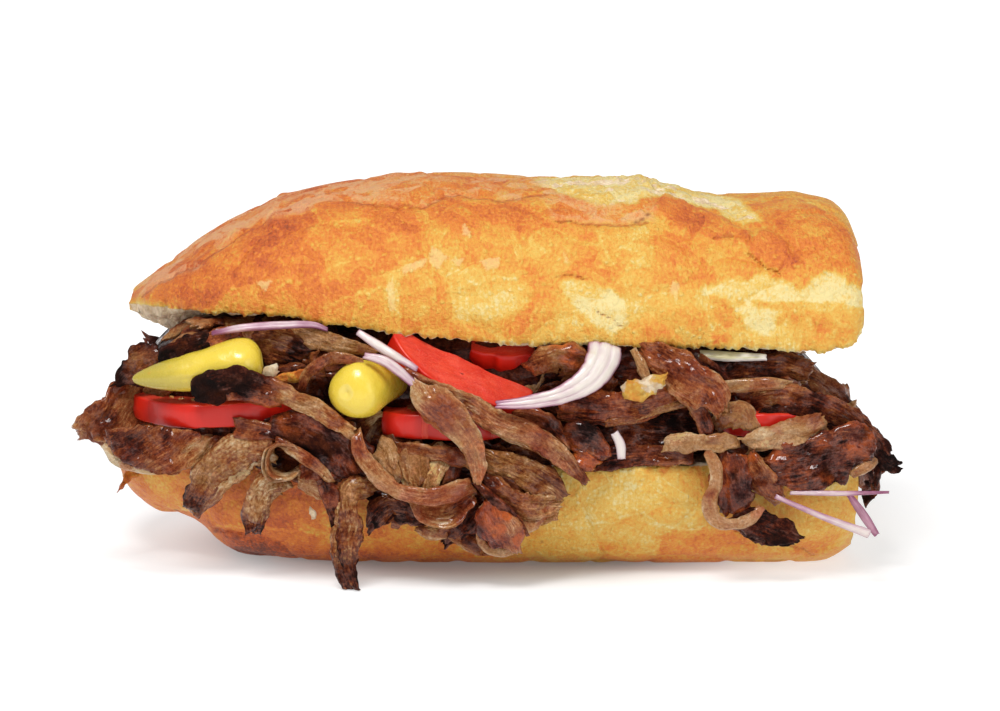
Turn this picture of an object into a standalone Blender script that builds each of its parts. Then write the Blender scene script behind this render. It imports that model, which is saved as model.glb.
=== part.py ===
"""Doner kebab sandwich half: the two halves of a short white loaf with sliced doner meat,
tomato slices, yellow pickled peppers and red onion between them.

+X runs along the loaf to its cut end, -Y is the open front, +Z is up.
The origin lies on the flat underside of the lower bread. Lengths below are in millimetres.
"""

import math

import bmesh
import bpy
from mathutils import Matrix, Vector, noise

MM = 0.001

# Clear space left round a piece that is bedded in another one
BED_GAP = 0.45

# Loaf: shape of a section, and the plane that the lower half was opened on
LOAF_ROUNDNESS = 2.3
LOAF_POINTS = 22
OPENED_AT = 34.5
TOP_LEANS_BACK = 0.04

# Filling
HEAP_ROUNDNESS = 2.5
MEAT_THICKNESS = 2.6
ONION_THICKNESS = 2.4
TOMATO_THICKNESS = 7.0

# Along the upper half: place, half width, height of the front edge, height of the crown
UPPER_LOAF = [
    (-106.5, 8, 75.0, 78.2),
    (-102.5, 18, 76.6, 81.5),
    (-96, 27, 77.4, 86.8),
    (-87, 35, 77.8, 94),
    (-75, 42, 77.9, 101.5),
    (-58, 47, 78.2, 108.8),
    (-38, 49.5, 75.2, 112.6),
    (-12, 50, 72.4, 114.6),
    (16, 50, 70.6, 113.4),
    (45, 50, 70.0, 113.4),
    (68, 50, 69.4, 108.4),
    (88, 49.5, 68.8, 108.4),
    (103, 49, 68.6, 107.2),
    (108.5, 47.5, 70.6, 104),
    (110.7, 43.5, 76, 97.5),
]

# Along the lower half: place, half width, height of the opened face, height of the keel.
# A keel under zero is cut off flat, which makes the face that the sandwich stands on.
LOWER_LOAF = [
    (-112, 9, 33.0, 26.5),
    (-108, 19, 34.0, 18.0),
    (-101, 27, 34.5, 11.8),
    (-92, 34, 34.5, 10.8),
    (-85, 38.5, 34.5, 7.5),
    (-77.5, 42, 34.5, -0.8),
    (-67, 45.5, 34.5, -3.6),
    (-52, 48.5, 34.5, -5.2),
    (-25, 50.5, 34.5, -6),
    (20, 51, 34.5, -6),
    (65, 50.5, 34.5, -6),
    (98, 49.5, 34.0, -5),
    (108.5, 46, 31.5, 1.2),
]

# Crumb that hangs under the closed end of the upper half: centre, reach and depth
HANGING_CRUMB = {"at": (-88, -4), "reach": (24, 30), "depth": 11.0}

# Along the heap of meat: place, half width, lowest and highest height before it meets the bread
HEAP = [
    (-108, 14, 41, 51),
    (-103, 31, 37, 59),
    (-94, 40, 31, 68),
    (-78, 45, 28, 84),
    (-55, 48.5, 26, 86),
    (-25, 49.5, 25, 86),
    (10, 49.5, 25, 86),
    (45, 49.5, 25, 86),
    (78, 48, 25, 78),
    (98, 43, 26, 64),
    (110, 33, 30, 52),
    (114, 20, 34, 45),
]

# How far the lowest layer of meat bulges out over the open front: place, reach
FRONT_BULGE = [
    (-108, 0), (-95, 3), (-80, 6), (-55, 7.5), (-20, 8), (12, 8), (30, 4.5), (52, 4), (70, 6.5), (95, 5), (114, 0),
]
BULGE_TOP = 45

# Meat slices that stand clear of the heap. Each station is x, y, z, half width, roll in degrees:
# at roll 0 the slice faces the front, and at roll 90 it lies edge on.
MEAT_SLICES = {
    "meat_slice_left_outer": [
        (-121.5, -38, 39, 1.8, 10), (-116, -41, 43, 6, 10), (-110, -42, 46.5, 7.6, 10),
        (-105.5, -41, 44, 3.4, 10), (-101, -38, 41, 2.2, 10),
    ],
    "meat_slice_left_inner": [
        (-108.5, -49.5, 44, 2.4, 10), (-100, -52.5, 43.6, 4.8, 5), (-90, -55, 42, 5.6, 0), (-79, -56.5, 41.5, 3.4, 0),
    ],
    "meat_slice_upper_char": [
        (-94.5, -47.5, 69, 2.6, -20), (-88, -49, 71.6, 3.2, -15), (-79, -49.5, 73.4, 2.6, -10), (-71, -49, 74.6, 1.4, -10),
    ],
    "meat_slice_middle_char": [
        (-85, -62.5, 56.5, 2.2, 0), (-76, -62.5, 59, 3.8, 0), (-67, -62.2, 58, 3.6, 0), (-57, -61, 55.5, 2.6, 0),
        (-47, -60, 51, 2.2, 0),
    ],
    "meat_strip_left": [
        (-63, -59.5, 39.8, 3.6, 0), (-71, -59.5, 40.4, 4.2, 0), (-76.5, -59, 36.5, 4.0, 0),
        (-80.5, -58, 32, 3.4, 0), (-85, -56.5, 27, 2.4, 0),
    ],
    "meat_strip_curled": [
        (-56, -61.8, 35.2, 3.2, 0), (-63, -60.8, 31.5, 2.8, 0), (-65.5, -59, 26, 2.4, 0), (-68, -57, 18.5, 1.2, 0),
    ],
    "meat_slice_dark": [
        (-71, -58.5, 47.4, 1.6, 0), (-61, -61, 45.8, 3.2, 0), (-50, -61.5, 42, 5.4, 0), (-43, -61, 37.5, 5.6, 0),
    ],
    "meat_strip_short": [
        (-46.5, -57, 30.5, 2.6, 0), (-46.5, -57, 26, 2.4, 0), (-46, -56.5, 20.5, 1.8, 0), (-45.5, -55.5, 16, 1.2, 0),
    ],
    "meat_strip_long": [
        (-35.8, -60, 30, 4.0, 0), (-39, -61.5, 24, 2.8, 0), (-39.5, -61.5, 17, 3.6, 0),
        (-40, -61.5, 10.5, 3.8, 0), (-40, -62, 5, 2.4, 0), (-38.5, -62.5, 1.9, 1.4, 0),
    ],
    "meat_slice_pocket": [
        (-20, -55, 42.6, 11, 0), (-20, -58.5, 37, 13.5, 0), (-18.5, -59.5, 29, 12, 0), (-14, -58.5, 20.5, 5, 0),
    ],
    "meat_slice_low": [
        (-36, -55, 27, 2.2, 0), (-30, -55.5, 22, 3.6, 0), (-24, -55, 20.5, 3.2, 0), (-20, -54.5, 16.5, 1.4, 0),
    ],
    "meat_slice_grilled": [
        (10, -53, 39.5, 9, 0), (11.5, -57, 32, 10, 0), (9, -58, 22, 9, 0), (5, -56, 13.5, 5.5, 0),
    ],
    "meat_strip_clear": [
        (-20.5, -61.5, 62, 2.4, 0), (-16, -64, 57.8, 3.8, 0), (-10.5, -64.5, 52, 3.8, 0), (-5.5, -64, 45, 2.8, 0),
        (-3, -63.5, 38, 2.2, 0), (-2, -63, 32, 1.2, 0),
    ],
    "meat_slice_ridge": [
        (-20, -57.6, 59.6, 1.4, 0), (-9, -58, 54.4, 2.0, 0), (5, -60, 48.8, 2.2, 0), (16, -61.5, 43.2, 2.2, 0),
        (26, -60.5, 34.5, 1.6, 0),
    ],
    "meat_slice_rolled": [
        (31, -51.5, 47, 2.2, 10), (39, -52.5, 49.3, 2.8, 10), (48, -52.5, 51.4, 2.8, 5), (57, -52, 53.6, 2.2, 0),
    ],
    "meat_slice_torn": [
        (44, -51, 66.5, 3.5, 0), (51, -55.5, 62, 5.2, 0), (60, -57.5, 57.5, 5.6, 0), (66, -58, 52.5, 3.6, 0),
        (67, -57.6, 47, 1.6, 0),
    ],
    "meat_slice_centre": [
        (19, -50.5, 45, 3.2, 0), (28, -53, 41.6, 5, 0), (36, -53.4, 39.4, 4.6, 0), (44, -52, 38.8, 3, 0),
    ],
    "meat_slice_dome": [
        (74, -32, 60.6, 13, 64), (88, -32.5, 59.6, 15, 62), (100, -33, 55.4, 16, 60), (108, -32.5, 48.5, 14, 56),
        (114.5, -32, 38.5, 11.5, 52), (119.5, -32, 29.5, 7.5, 48),
    ],
    "meat_strip_beige": [
        (60, -50.5, 61.4, 1.8, 20), (70, -50.8, 61.8, 2.2, 20), (82, -50.6, 60.8, 1.8, 20), (92, -50, 59, 1.0, 20),
    ],
    "meat_strip_pale": [
        (52, -54.5, 39.5, 2.0, 0), (63, -55.5, 40.6, 2.4, 0), (76, -55.8, 41.2, 2.8, 0), (88, -54.8, 42.8, 3.0, 0),
        (98, -52.4, 45.6, 2.2, 0),
    ],
    "meat_slice_flap": [
        (69, -57.5, 35.6, 5.4, 0), (69, -58.5, 29.6, 6.0, 0), (72, -57, 22.5, 5.4, 0), (80, -54.5, 18, 4.0, 0),
        (88, -51.5, 15.5, 1.8, 0),
    ],
    "meat_slice_red": [
        (82, -53.5, 34.2, 4.0, 0), (92, -53.5, 34.8, 5.2, 0), (102, -51.5, 36.2, 5.2, 0), (111, -47, 35.4, 3.0, 0),
    ],
    "meat_slice_right_end": [
        (112, -20, 41, 5, -75), (116, -16, 34, 6.5, -75), (117, -12, 24, 5, -75), (114.5, -10, 16, 2, -75),
    ],
    "meat_slice_back_left": [
        (-70, 52, 45, 9, 180), (-72, 56, 37, 8, 180), (-77, 55.5, 26, 5, 180),
    ],
    "meat_slice_back_middle": [
        (-12, 52, 47, 12, 180), (-10, 57.5, 38, 11, 180), (-4, 58.5, 28, 7, 180), (1, 57, 20, 3, 180),
    ],
    "meat_slice_back_right": [
        (58, 52, 47, 11, 180), (60, 57, 39, 10, 180), (66, 56.5, 29, 5.5, 180),
    ],
}

# Onion pieces, with stations as above
ONION_STRIPS = {
    "onion_strip_left": [(-77, -52.8, 72.8, 1.2, 30), (-70, -53.7, 74.6, 1.4, 30), (-55, -53, 75.6, 1.3, 30)],
    "onion_strip_inner": [(-37, -53.5, 71.5, 1.2, 20), (-30, -57.5, 68.4, 1.6, 20), (-23, -59, 66.2, 1.1, 20)],
    "onion_strip_outer": [(-36.5, -62, 67.8, 1.2, 20), (-29, -65, 65.4, 1.6, 20), (-23, -65.6, 61.4, 1.6, 20)],
    "onion_arc": [
        (3.5, -61, 55.2, 1.6, 10), (13, -62, 56.4, 2.4, 10), (24, -61, 59.2, 3.2, 0), (32, -58, 63.3, 4.0, 0),
        (35.5, -53.5, 67.2, 3.6, 0),
    ],
    "onion_sliver_middle": [(-6.5, -60.4, 50.6, 1.2, 0), (-3.8, -60.6, 45.6, 1.1, 0)],
    "onion_sliver_right": [(37, -56.6, 44.6, 1.2, 0), (38.6, -57, 42.6, 1.6, 0), (39, -57, 38.6, 1.2, 0)],
    "onion_slice_right": [(56, -47, 66.4, 1.2, 40), (68, -49, 66.4, 1.8, 40), (80, -49, 65.8, 1.2, 40)],
    "onion_needle_level": [(90, -57.5, 28.2, 0.8, 0), (102, -59, 28.4, 1.0, 0), (115, -59.5, 28.8, 0.5, 0)],
    "onion_needle_long": [(84, -57.2, 27, 0.9, 0), (96, -61, 22.4, 1.1, 0), (110.5, -61.5, 17.5, 1.5, 0)],
    "onion_needle_short": [(106, -54.5, 26.4, 0.9, 0), (109.5, -56.5, 21.2, 1.3, 0), (113.2, -58, 15.8, 0.9, 0)],
    "onion_strip_back": [(-44, 52, 60, 1.6, 180), (-30, 55, 56.5, 2.2, 180), (-14, 54.5, 55, 1.8, 180)],
}

# Tomato slices: centre, radius, turn about X and Y in degrees, and straight cuts in the plane
# of the slice. A cut keeps what lies past a line: (distance from the centre, heading in degrees).
TOMATO_SLICES = {
    "tomato_slice_left": {"at": (-76, -27, 50.8), "radius": 29.5, "turn": (-1.5, -4), "cuts": []},
    "tomato_slice_middle": {"at": (-7, -26.5, 47), "radius": 29.5, "turn": (0, 1), "cuts": [(2, 270)]},
    "tomato_wedge_upper": {
        "at": (-3, -30, 73.6), "radius": 30, "turn": (33, 25), "cuts": [(17.5, 270), (-22, 0), (-21, 180)],
    },
    "tomato_wedge_inner": {
        "at": (5.5, -24.6, 75.4), "radius": 24, "turn": (30, 4), "cuts": [(13, 270), (-9.5, 0), (-9, 180)],
    },
    "tomato_slice_right": {"at": (80, -33.5, 47.4), "radius": 20, "turn": (1, 1), "cuts": [(6, 270), (-10, 180)]},
    "tomato_slice_back": {"at": (18, 25, 53.5), "radius": 28.5, "turn": (-3, -3), "cuts": []},
}

# Pickled peppers: blunt end, tip, largest radius
PEPPERS = {
    "pepper_left": {"blunt": (-64.5, -52.5, 66.2), "tip": (-103, -51.5, 60.4), "radius": 7.0},
    "pepper_middle": {"blunt": (-40.5, -62.5, 59.8), "tip": (-22, -29, 57), "radius": 8.6},
}

# Share of the length from the tip, and share of the largest radius, along a pepper
PEPPER_PROFILE = [
    (0, 0), (0.02, 0.16), (0.10, 0.42), (0.25, 0.66), (0.45, 0.82), (0.65, 0.95), (0.80, 1.0),
    (0.91, 0.88), (0.97, 0.6), (1.0, 0.3), (1.0, 0),
]

COLOURS = {
    "crust": ((0.80, 0.42, 0.13), 0.6),
    "meat": ((0.33, 0.19, 0.11), 0.5),
    "tomato": ((0.78, 0.08, 0.03), 0.25),
    "pepper": ((0.86, 0.72, 0.16), 0.2),
    "onion": ((0.86, 0.74, 0.76), 0.3),
}

model = bpy.data.collections.new("doner_kebab_half")
cutters = bpy.data.collections.new("cutters")


def clear_scene():
    for old in list(bpy.data.objects):
        bpy.data.objects.remove(old)
    for collection in (model, cutters):
        bpy.context.scene.collection.children.link(collection)
    cutters.hide_render = True


def material(kind):
    if kind in bpy.data.materials:
        return bpy.data.materials[kind]
    made = bpy.data.materials.new(kind)
    made.use_nodes = True
    shader = made.node_tree.nodes["Principled BSDF"]
    colour, roughness = COLOURS[kind]
    shader.inputs["Base Color"].default_value = (*colour, 1)
    shader.inputs["Roughness"].default_value = roughness
    shader.inputs["Metallic"].default_value = 0
    return made


def add_object(name, bm, kind, smooth=True):
    """Closes the bmesh into an object of the model, with its faces pointing out."""
    bmesh.ops.recalc_face_normals(bm, faces=bm.faces)
    mesh = bpy.data.meshes.new(name)
    bm.to_mesh(mesh)
    bm.free()
    if smooth:
        mesh.shade_smooth()
    mesh.materials.append(material(kind))
    made = bpy.data.objects.new(name, mesh)
    model.objects.link(made)
    return made


def loft(name, rings, kind):
    """One closed skin over a row of rings that all have the same number of points."""
    bm = bmesh.new()
    rows = [[bm.verts.new(point * MM) for point in ring] for ring in rings]
    count = len(rows[0])
    for near, far in zip(rows, rows[1:]):
        for i in range(count):
            j = (i + 1) % count
            bm.faces.new((near[i], near[j], far[j], far[i]))
    bm.faces.new(reversed(rows[0]))
    bm.faces.new(rows[-1])
    return add_object(name, bm, kind)


def smooth_stations(stations, steps):
    """The stations with others between them, on a Catmull-Rom curve."""
    count = len(stations)
    made = []
    for i in range(count - 1):
        before = stations[max(i - 1, 0)]
        start, end = stations[i], stations[i + 1]
        after = stations[min(i + 2, count - 1)]
        for step in range(steps):
            t = step / steps
            made.append(tuple(
                0.5 * (2 * b + (c - a) * t + (2 * a - 5 * b + 4 * c - d) * t**2 + (3 * b - a - 3 * c + d) * t**3)
                for a, b, c, d in zip(before, start, end, after)
            ))
    made.append(tuple(stations[-1]))
    return made


def superellipse(angle, power):
    """A point on a rounded square of half size 1, which is a circle at power 2."""
    c, s = math.cos(angle), math.sin(angle)
    return (
        math.copysign(abs(c) ** (2 / power), c),
        math.copysign(abs(s) ** (2 / power), s),
    )


def crumb_below(x, y):
    """How far the crumb hangs under the upper half's opened face."""
    (cx, cy), (rx, ry) = HANGING_CRUMB["at"], HANGING_CRUMB["reach"]
    away = ((x - cx) / rx) ** 2 + ((y - cy) / ry) ** 2
    return HANGING_CRUMB["depth"] * max(0.0, 1 - away) ** 1.5


def upper_face_height(x, y):
    """Height of the upper half's opened face, which leans back a little."""
    places = smooth_stations(UPPER_LOAF, 4)
    x = min(max(x, places[0][0]), places[-1][0])
    for near, far in zip(places, places[1:]):
        if near[0] <= x <= far[0]:
            t = (x - near[0]) / max(far[0] - near[0], 1e-6)
            half = near[1] + (far[1] - near[1]) * t
            front = near[2] + (far[2] - near[2]) * t
            return front - TOP_LEANS_BACK * (y + half) - crumb_below(x, y)
    return places[-1][2]


def upper_bread():
    rings = []
    for x, half, front, crown in smooth_stations(UPPER_LOAF, 2):
        ring = []
        for i in range(LOAF_POINTS):
            across, up = superellipse(math.pi * i / (LOAF_POINTS - 1), LOAF_ROUNDNESS)
            y = half * across
            base = front - TOP_LEANS_BACK * (y + half)
            ring.append(Vector((x, y, base + (crown - front) * up)))
        for share in (-0.72, -0.36, 0, 0.36, 0.72):
            y = half * share
            ring.append(Vector((x, y, front - TOP_LEANS_BACK * (y + half) - crumb_below(x, y))))
        rings.append(ring)
    return loft("bread_upper", rings, "crust")


def lower_bread():
    rings = []
    for x, half, face, keel in smooth_stations(LOWER_LOAF, 2):
        ring = []
        for i in range(LOAF_POINTS):
            across, down = superellipse(math.pi * i / (LOAF_POINTS - 1), LOAF_ROUNDNESS)
            ring.append(Vector((x, -half * across, max(0.0, face - (face - keel) * down))))
        for share in (0.72, 0.36, 0, -0.36, -0.72):
            ring.append(Vector((x, half * share, face)))
        rings.append(ring)
    return loft("bread_lower", rings, "crust")


def bulge_at(x):
    for (start, low), (end, high) in zip(FRONT_BULGE, FRONT_BULGE[1:]):
        if start <= x <= end:
            return low + (high - low) * (x - start) / (end - start)
    return 0.0


def meat_heap():
    """The heap of doner meat out to its uneven outline, held between the two halves."""
    rings = []
    points = 30
    for x, half, low, high in smooth_stations(HEAP, 2):
        ring = []
        for i in range(points):
            across, up = superellipse(2 * math.pi * i / points, HEAP_ROUNDNESS)
            lump = noise.noise(Vector((x / 17, across * 2.1, up * 2.3 + 4)))
            y = half * across * (1 + 0.045 * lump)
            z = (low + high) / 2 + (high - low) / 2 * up * (1 + 0.10 * lump)
            z = min(z, upper_face_height(x, y) - 1.8)
            z = max(z, OPENED_AT + 1.0 - lump * 0.4)
            if across < 0 and z < BULGE_TOP:
                y -= bulge_at(x) * min(1.0, (BULGE_TOP - z) / 3) * min(1.0, -across * 1.25) ** 3
            ring.append(Vector((x, y, z)))
        rings.append(ring)
    return loft("meat_heap", rings, "meat")


def strip(name, stations, thickness, kind, grow=0.0):
    """A flat slice with feathered edges that follows its stations."""
    places = smooth_stations(stations, 2)
    points = [Vector(place[:3]) for place in places]
    if grow:
        points[0] += (points[0] - points[1]).normalized() * grow
        points[-1] += (points[-1] - points[-2]).normalized() * grow
    rings = []
    for i, (point, place) in enumerate(zip(points, places)):
        along = (points[min(i + 1, len(points) - 1)] - points[max(i - 1, 0)]).normalized()
        facing = Vector((0, -1, 0))
        facing = (facing - along * facing.dot(along)).normalized()
        facing.rotate(Matrix.Rotation(-math.radians(place[4]), 3, along))
        across = facing.cross(along)
        half = place[3] + grow
        thick = thickness / 2 + grow
        ring = [
            (-1, 0), (-0.72, 1), (0.72, 1), (1, 0), (0.72, -1), (-0.72, -1),
        ]
        rings.append([point + across * half * a + facing * thick * b for a, b in ring])
    return loft(name, rings, kind)


def tomato(name, at, radius, turn, cuts, grow=0.0):
    bm = bmesh.new()
    bmesh.ops.create_cone(
        bm, cap_ends=True, segments=36, radius1=(radius + grow) * MM, radius2=(radius + grow) * MM,
        depth=(TOMATO_THICKNESS + 2 * grow) * MM,
    )
    for distance, heading in cuts:
        normal = Vector((math.cos(math.radians(heading)), math.sin(math.radians(heading)), 0))
        every = bm.verts[:] + bm.edges[:] + bm.faces[:]
        where = normal * (distance - grow) * MM
        bmesh.ops.bisect_plane(bm, geom=every, plane_co=where, plane_no=normal, clear_inner=True)
        bmesh.ops.holes_fill(bm, edges=[e for e in bm.edges if e.is_boundary])
    made = add_object(name, bm, "tomato", smooth=False)
    made.location = Vector(at) * MM
    made.rotation_euler = [math.radians(a) for a in turn] + [0]
    return made


def pepper(name, blunt, tip, radius, grow=0.0):
    """A turned shape: the profile runs down its outer side, from the blunt end to the tip."""
    blunt, tip = Vector(blunt), Vector(tip)
    away = (blunt - tip).normalized()
    blunt, tip = blunt + away * grow, tip - away * grow
    length = (blunt - tip).length
    bm = bmesh.new()
    row = []
    for share, wide in reversed(PEPPER_PROFILE):
        outer = radius * wide + grow if wide else 0.0
        row.append(bm.verts.new(Vector((outer, 0, length * share)) * MM))
    for near, far in zip(row, row[1:]):
        bm.edges.new((near, far))
    mesh = bpy.data.meshes.new(name)
    bm.to_mesh(mesh)
    bm.free()
    mesh.materials.append(material("pepper"))
    made = bpy.data.objects.new(name, mesh)
    model.objects.link(made)
    turned = made.modifiers.new("turned", "SCREW")
    turned.steps = turned.render_steps = 20
    turned.use_merge_vertices = True
    turned.merge_threshold = 0.00005
    made.rotation_mode = "QUATERNION"
    made.rotation_quaternion = away.to_track_quat("Z", "Y")
    made.location = tip * MM
    return made


def as_cutter(made):
    """Moves a piece out of the model, to the cutters."""
    made.name = "cutter_" + made.name
    model.objects.unlink(made)
    cutters.objects.link(made)
    made.hide_render = True
    made.display_type = "WIRE"
    return made


def cut_bed(piece, cutter):
    """Makes room in a piece for another one that lies in it."""
    bed = piece.modifiers.new("bed_of_" + cutter.name, "BOOLEAN")
    bed.operation = "DIFFERENCE"
    bed.solver = "EXACT"
    bed.object = cutter


def filling_piece(name, grow=0.0):
    """Any piece of the filling by its name, or a cutter for its bed if it is grown."""
    if name in MEAT_SLICES:
        return strip(name, MEAT_SLICES[name], MEAT_THICKNESS, "meat", grow)
    if name in ONION_STRIPS:
        return strip(name, ONION_STRIPS[name], ONION_THICKNESS, "onion", grow)
    if name in TOMATO_SLICES:
        return tomato(name, grow=grow, **TOMATO_SLICES[name])
    return pepper(name, grow=grow, **PEPPERS[name])


clear_scene()
upper = upper_bread()
lower_bread()
heap = meat_heap()
names = [*PEPPERS, *TOMATO_SLICES, *ONION_STRIPS, *MEAT_SLICES]
pieces = {name: filling_piece(name) for name in names}
beds = {name: as_cutter(filling_piece(name, BED_GAP)) for name in names}
for name in names:
    cut_bed(heap, beds[name])
for name in ("tomato_wedge_upper", "tomato_wedge_inner"):
    cut_bed(upper, beds[name])
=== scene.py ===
import math

import bpy
import numpy as np
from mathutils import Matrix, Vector


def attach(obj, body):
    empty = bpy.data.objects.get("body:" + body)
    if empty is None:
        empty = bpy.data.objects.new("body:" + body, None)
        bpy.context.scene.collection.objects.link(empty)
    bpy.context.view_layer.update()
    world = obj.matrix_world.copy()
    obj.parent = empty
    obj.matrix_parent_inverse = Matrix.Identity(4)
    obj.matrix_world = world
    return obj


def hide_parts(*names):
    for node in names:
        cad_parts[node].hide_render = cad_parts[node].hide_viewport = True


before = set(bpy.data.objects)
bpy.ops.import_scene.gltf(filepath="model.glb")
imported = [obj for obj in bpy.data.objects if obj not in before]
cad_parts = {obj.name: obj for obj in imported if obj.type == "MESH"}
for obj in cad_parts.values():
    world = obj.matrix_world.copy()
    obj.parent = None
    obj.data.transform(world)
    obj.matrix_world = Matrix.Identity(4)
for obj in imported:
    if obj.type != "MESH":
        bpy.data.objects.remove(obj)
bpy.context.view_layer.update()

mm = 0.001
fine = 1.0  # spacing of the meshes, against the full one


# ---- shader and geometry trees ----

class Wire:
    # an output of a node, which can be used in sums
    def __init__(self, graph, socket):
        self.graph, self.socket = graph, socket

    def __add__(self, other): return self.graph.math("ADD", self, other)
    def __sub__(self, other): return self.graph.math("SUBTRACT", self, other)
    def __mul__(self, other): return self.graph.math("MULTIPLY", self, other)
    def __truediv__(self, other): return self.graph.math("DIVIDE", self, other)
    def __pow__(self, other): return self.graph.math("POWER", self, other)
    def __rsub__(self, other): return self.graph.math("SUBTRACT", other, self)
    def __rtruediv__(self, other): return self.graph.math("DIVIDE", other, self)
    __radd__, __rmul__ = __add__, __mul__

    def most(self, other): return self.graph.math("MAXIMUM", self, other)
    def least(self, other): return self.graph.math("MINIMUM", self, other)

    def step(self, low, high, to=(0, 1)):
        # eases from one value to the other while this one goes from low to high
        return self.graph.node("ShaderNodeMapRange", {"interpolation_type": "SMOOTHSTEP"},
                               {0: self, 1: low, 2: high, 3: to[0], 4: to[1]})


class Graph:
    def __init__(self, tree):
        self.tree = tree

    def node(self, kind, settings=None, values=None, output=0):
        made = self.tree.nodes.new(kind)
        for name, value in (settings or {}).items():
            if name == "stops":
                ramp = made.color_ramp
                while len(ramp.elements) < len(value):
                    ramp.elements.new(1)
                for element, (place, colour) in zip(ramp.elements, value):
                    element.position, element.color = place, (*colour, 1)
            else:
                setattr(made, name, value)
        for name, value in (values or {}).items():
            if isinstance(value, Wire):
                self.tree.links.new(value.socket, made.inputs[name])
            else:
                made.inputs[name].default_value = value
        return Wire(self, made.outputs[output]) if len(made.outputs) else made

    def math(self, operation, first, second):
        return self.node("ShaderNodeMath", {"operation": operation}, {0: first, 1: second})

    def mix(self, share, first, second, how="MIX"):
        first, second = ((*c, 1) if isinstance(c, tuple) and len(c) == 3 else c for c in (first, second))
        return self.node("ShaderNodeMix", {"data_type": "RGBA", "blend_type": how},
                         {0: share, 6: first, 7: second}, output=2)

    def noise(self, at, size, detail=2, rough=0.5, warp=0.0):
        return self.node("ShaderNodeTexNoise", None,
                         {"Vector": at, "Scale": 1 / size, "Detail": detail, "Roughness": rough, "Distortion": warp})

    def cells(self, at, size, feature="F1", output="Distance", random=1.0):
        return self.node("ShaderNodeTexVoronoi", {"feature": feature},
                         {"Vector": at, "Scale": 1 / size, "Randomness": random}, output)

    def scaled(self, vector, by):
        return self.node("ShaderNodeVectorMath", {"operation": "MULTIPLY"}, {0: vector, 1: by})

    def sum(self, first, second):
        return self.node("ShaderNodeVectorMath", {"operation": "ADD"}, {0: first, 1: second})

    def layer(self, name):
        return self.node("ShaderNodeAttribute", {"attribute_name": name}, output="Fac")


def rgb(red, green, blue):
    # screen values from 0 to 255, as the linear colour that nodes take
    return tuple(((c / 255 + 0.055) / 1.055) ** 2.4 if c > 10 else c / 3294.6 for c in (red, green, blue))


def newMaterial(name, look, bump=None, **fixed):
    # look: what varies, by socket; fixed: what is the same all over
    material = bpy.data.materials.new(name)
    material.use_nodes = True
    shader = material.node_tree.nodes["Principled BSDF"]
    graph = Graph(material.node_tree)
    for socket, value in fixed.items():
        shader.inputs[socket.replace("_", " ")].default_value = value
    for socket, value in look(graph).items():
        if socket == "Bump":
            height, depth = value
            value = graph.node("ShaderNodeBump", None, {"Height": height, "Distance": depth * mm, "Strength": 1.0})
            socket = "Normal"
        graph.tree.links.new(value.socket, shader.inputs[socket])
    return material


# ---- meshes ----

def speckle(u, v, seed, octaves=1):
    # smooth random values from -1 to 1 over a plane
    table = np.random.default_rng(seed).uniform(-1, 1, (64, 64))
    u, v = np.broadcast_arrays(np.asarray(u, float), np.asarray(v, float))
    total, reach, most = 0, 1.0, 0
    for _ in range(octaves):
        i, j = np.floor(u).astype(int), np.floor(v).astype(int)
        p, q = u - i, v - j
        p, q = p * p * (3 - 2 * p), q * q * (3 - 2 * q)
        near = table[i % 64, j % 64] * (1 - q) + table[i % 64, (j + 1) % 64] * q
        far = table[(i + 1) % 64, j % 64] * (1 - q) + table[(i + 1) % 64, (j + 1) % 64] * q
        total = total + reach * (near * (1 - p) + far * p)
        most += reach
        u, v, reach = u * 2 + 7.3, v * 2 + 3.1, reach * 0.5
    return total / most


def curveThrough(stations, steps=12):
    # a Catmull-Rom curve through every station, one row for each step
    s = np.array(stations, float)
    s = np.vstack([2 * s[0] - s[1], s, 2 * s[-1] - s[-2]])
    t = np.linspace(0, 1, steps, endpoint=False)[:, None]
    rows = [0.5 * (2 * b + (c - a) * t + (2 * a - 5 * b + 4 * c - d) * t**2 + (3 * b - a - 3 * c + d) * t**3)
            for a, b, c, d in zip(s, s[1:], s[2:], s[3:])]
    return np.vstack(rows + [s[-2:-1]])


def meshFrom(name, points, faces, uv=None, layers=None):
    # points in millimetres; uv and layers hold one value for each point
    mesh = bpy.data.meshes.new(name)
    mesh.from_pydata((np.asarray(points) * mm).tolist(), [], faces if isinstance(faces, list) else faces.tolist())
    if uv is not None:
        corners = np.empty(len(mesh.loops), int)
        mesh.loops.foreach_get("vertex_index", corners)
        mesh.uv_layers.new(name="along").data.foreach_set("uv", np.asarray(uv, float)[corners].ravel())
    for layer, values in (layers or {}).items():
        mesh.attributes.new(layer, "FLOAT", "POINT").data.foreach_set("value", np.broadcast_to(values, len(points)).astype(float))
    mesh.shade_smooth()
    made = bpy.data.objects.new(name, mesh)
    bpy.context.scene.collection.objects.link(made)
    return made


def rows(countU, countV, closed=False):
    # quads between the points of a grid
    i, j = np.meshgrid(np.arange(countU - 1), np.arange(countV if closed else countV - 1), indexing="ij")
    k = (j + 1) % countV
    return np.stack([i * countV + j, (i + 1) * countV + j, (i + 1) * countV + k, i * countV + k], -1).reshape(-1, 4)


def finished(piece, node, material):
    piece.data.materials.clear()
    piece.data.materials.append(material)
    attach(piece, "root")
    for name in [node] if isinstance(node, str) else node or []:
        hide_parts(name)
    return piece


def applied(piece, tree, settings):
    # runs a geometry tree on the piece and keeps the result as a plain mesh
    runner = piece.modifiers.new(tree.name, "NODES")
    runner.node_group = tree
    for item in tree.interface.items_tree:
        if item.in_out == "INPUT" and item.name in settings:
            runner[item.identifier] = settings[item.name]
    graph = bpy.context.evaluated_depsgraph_get()
    mesh = bpy.data.meshes.new_from_object(piece.evaluated_get(graph))
    piece.modifiers.remove(runner)
    old, piece.data = piece.data, mesh
    bpy.data.meshes.remove(old)
    return piece


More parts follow.
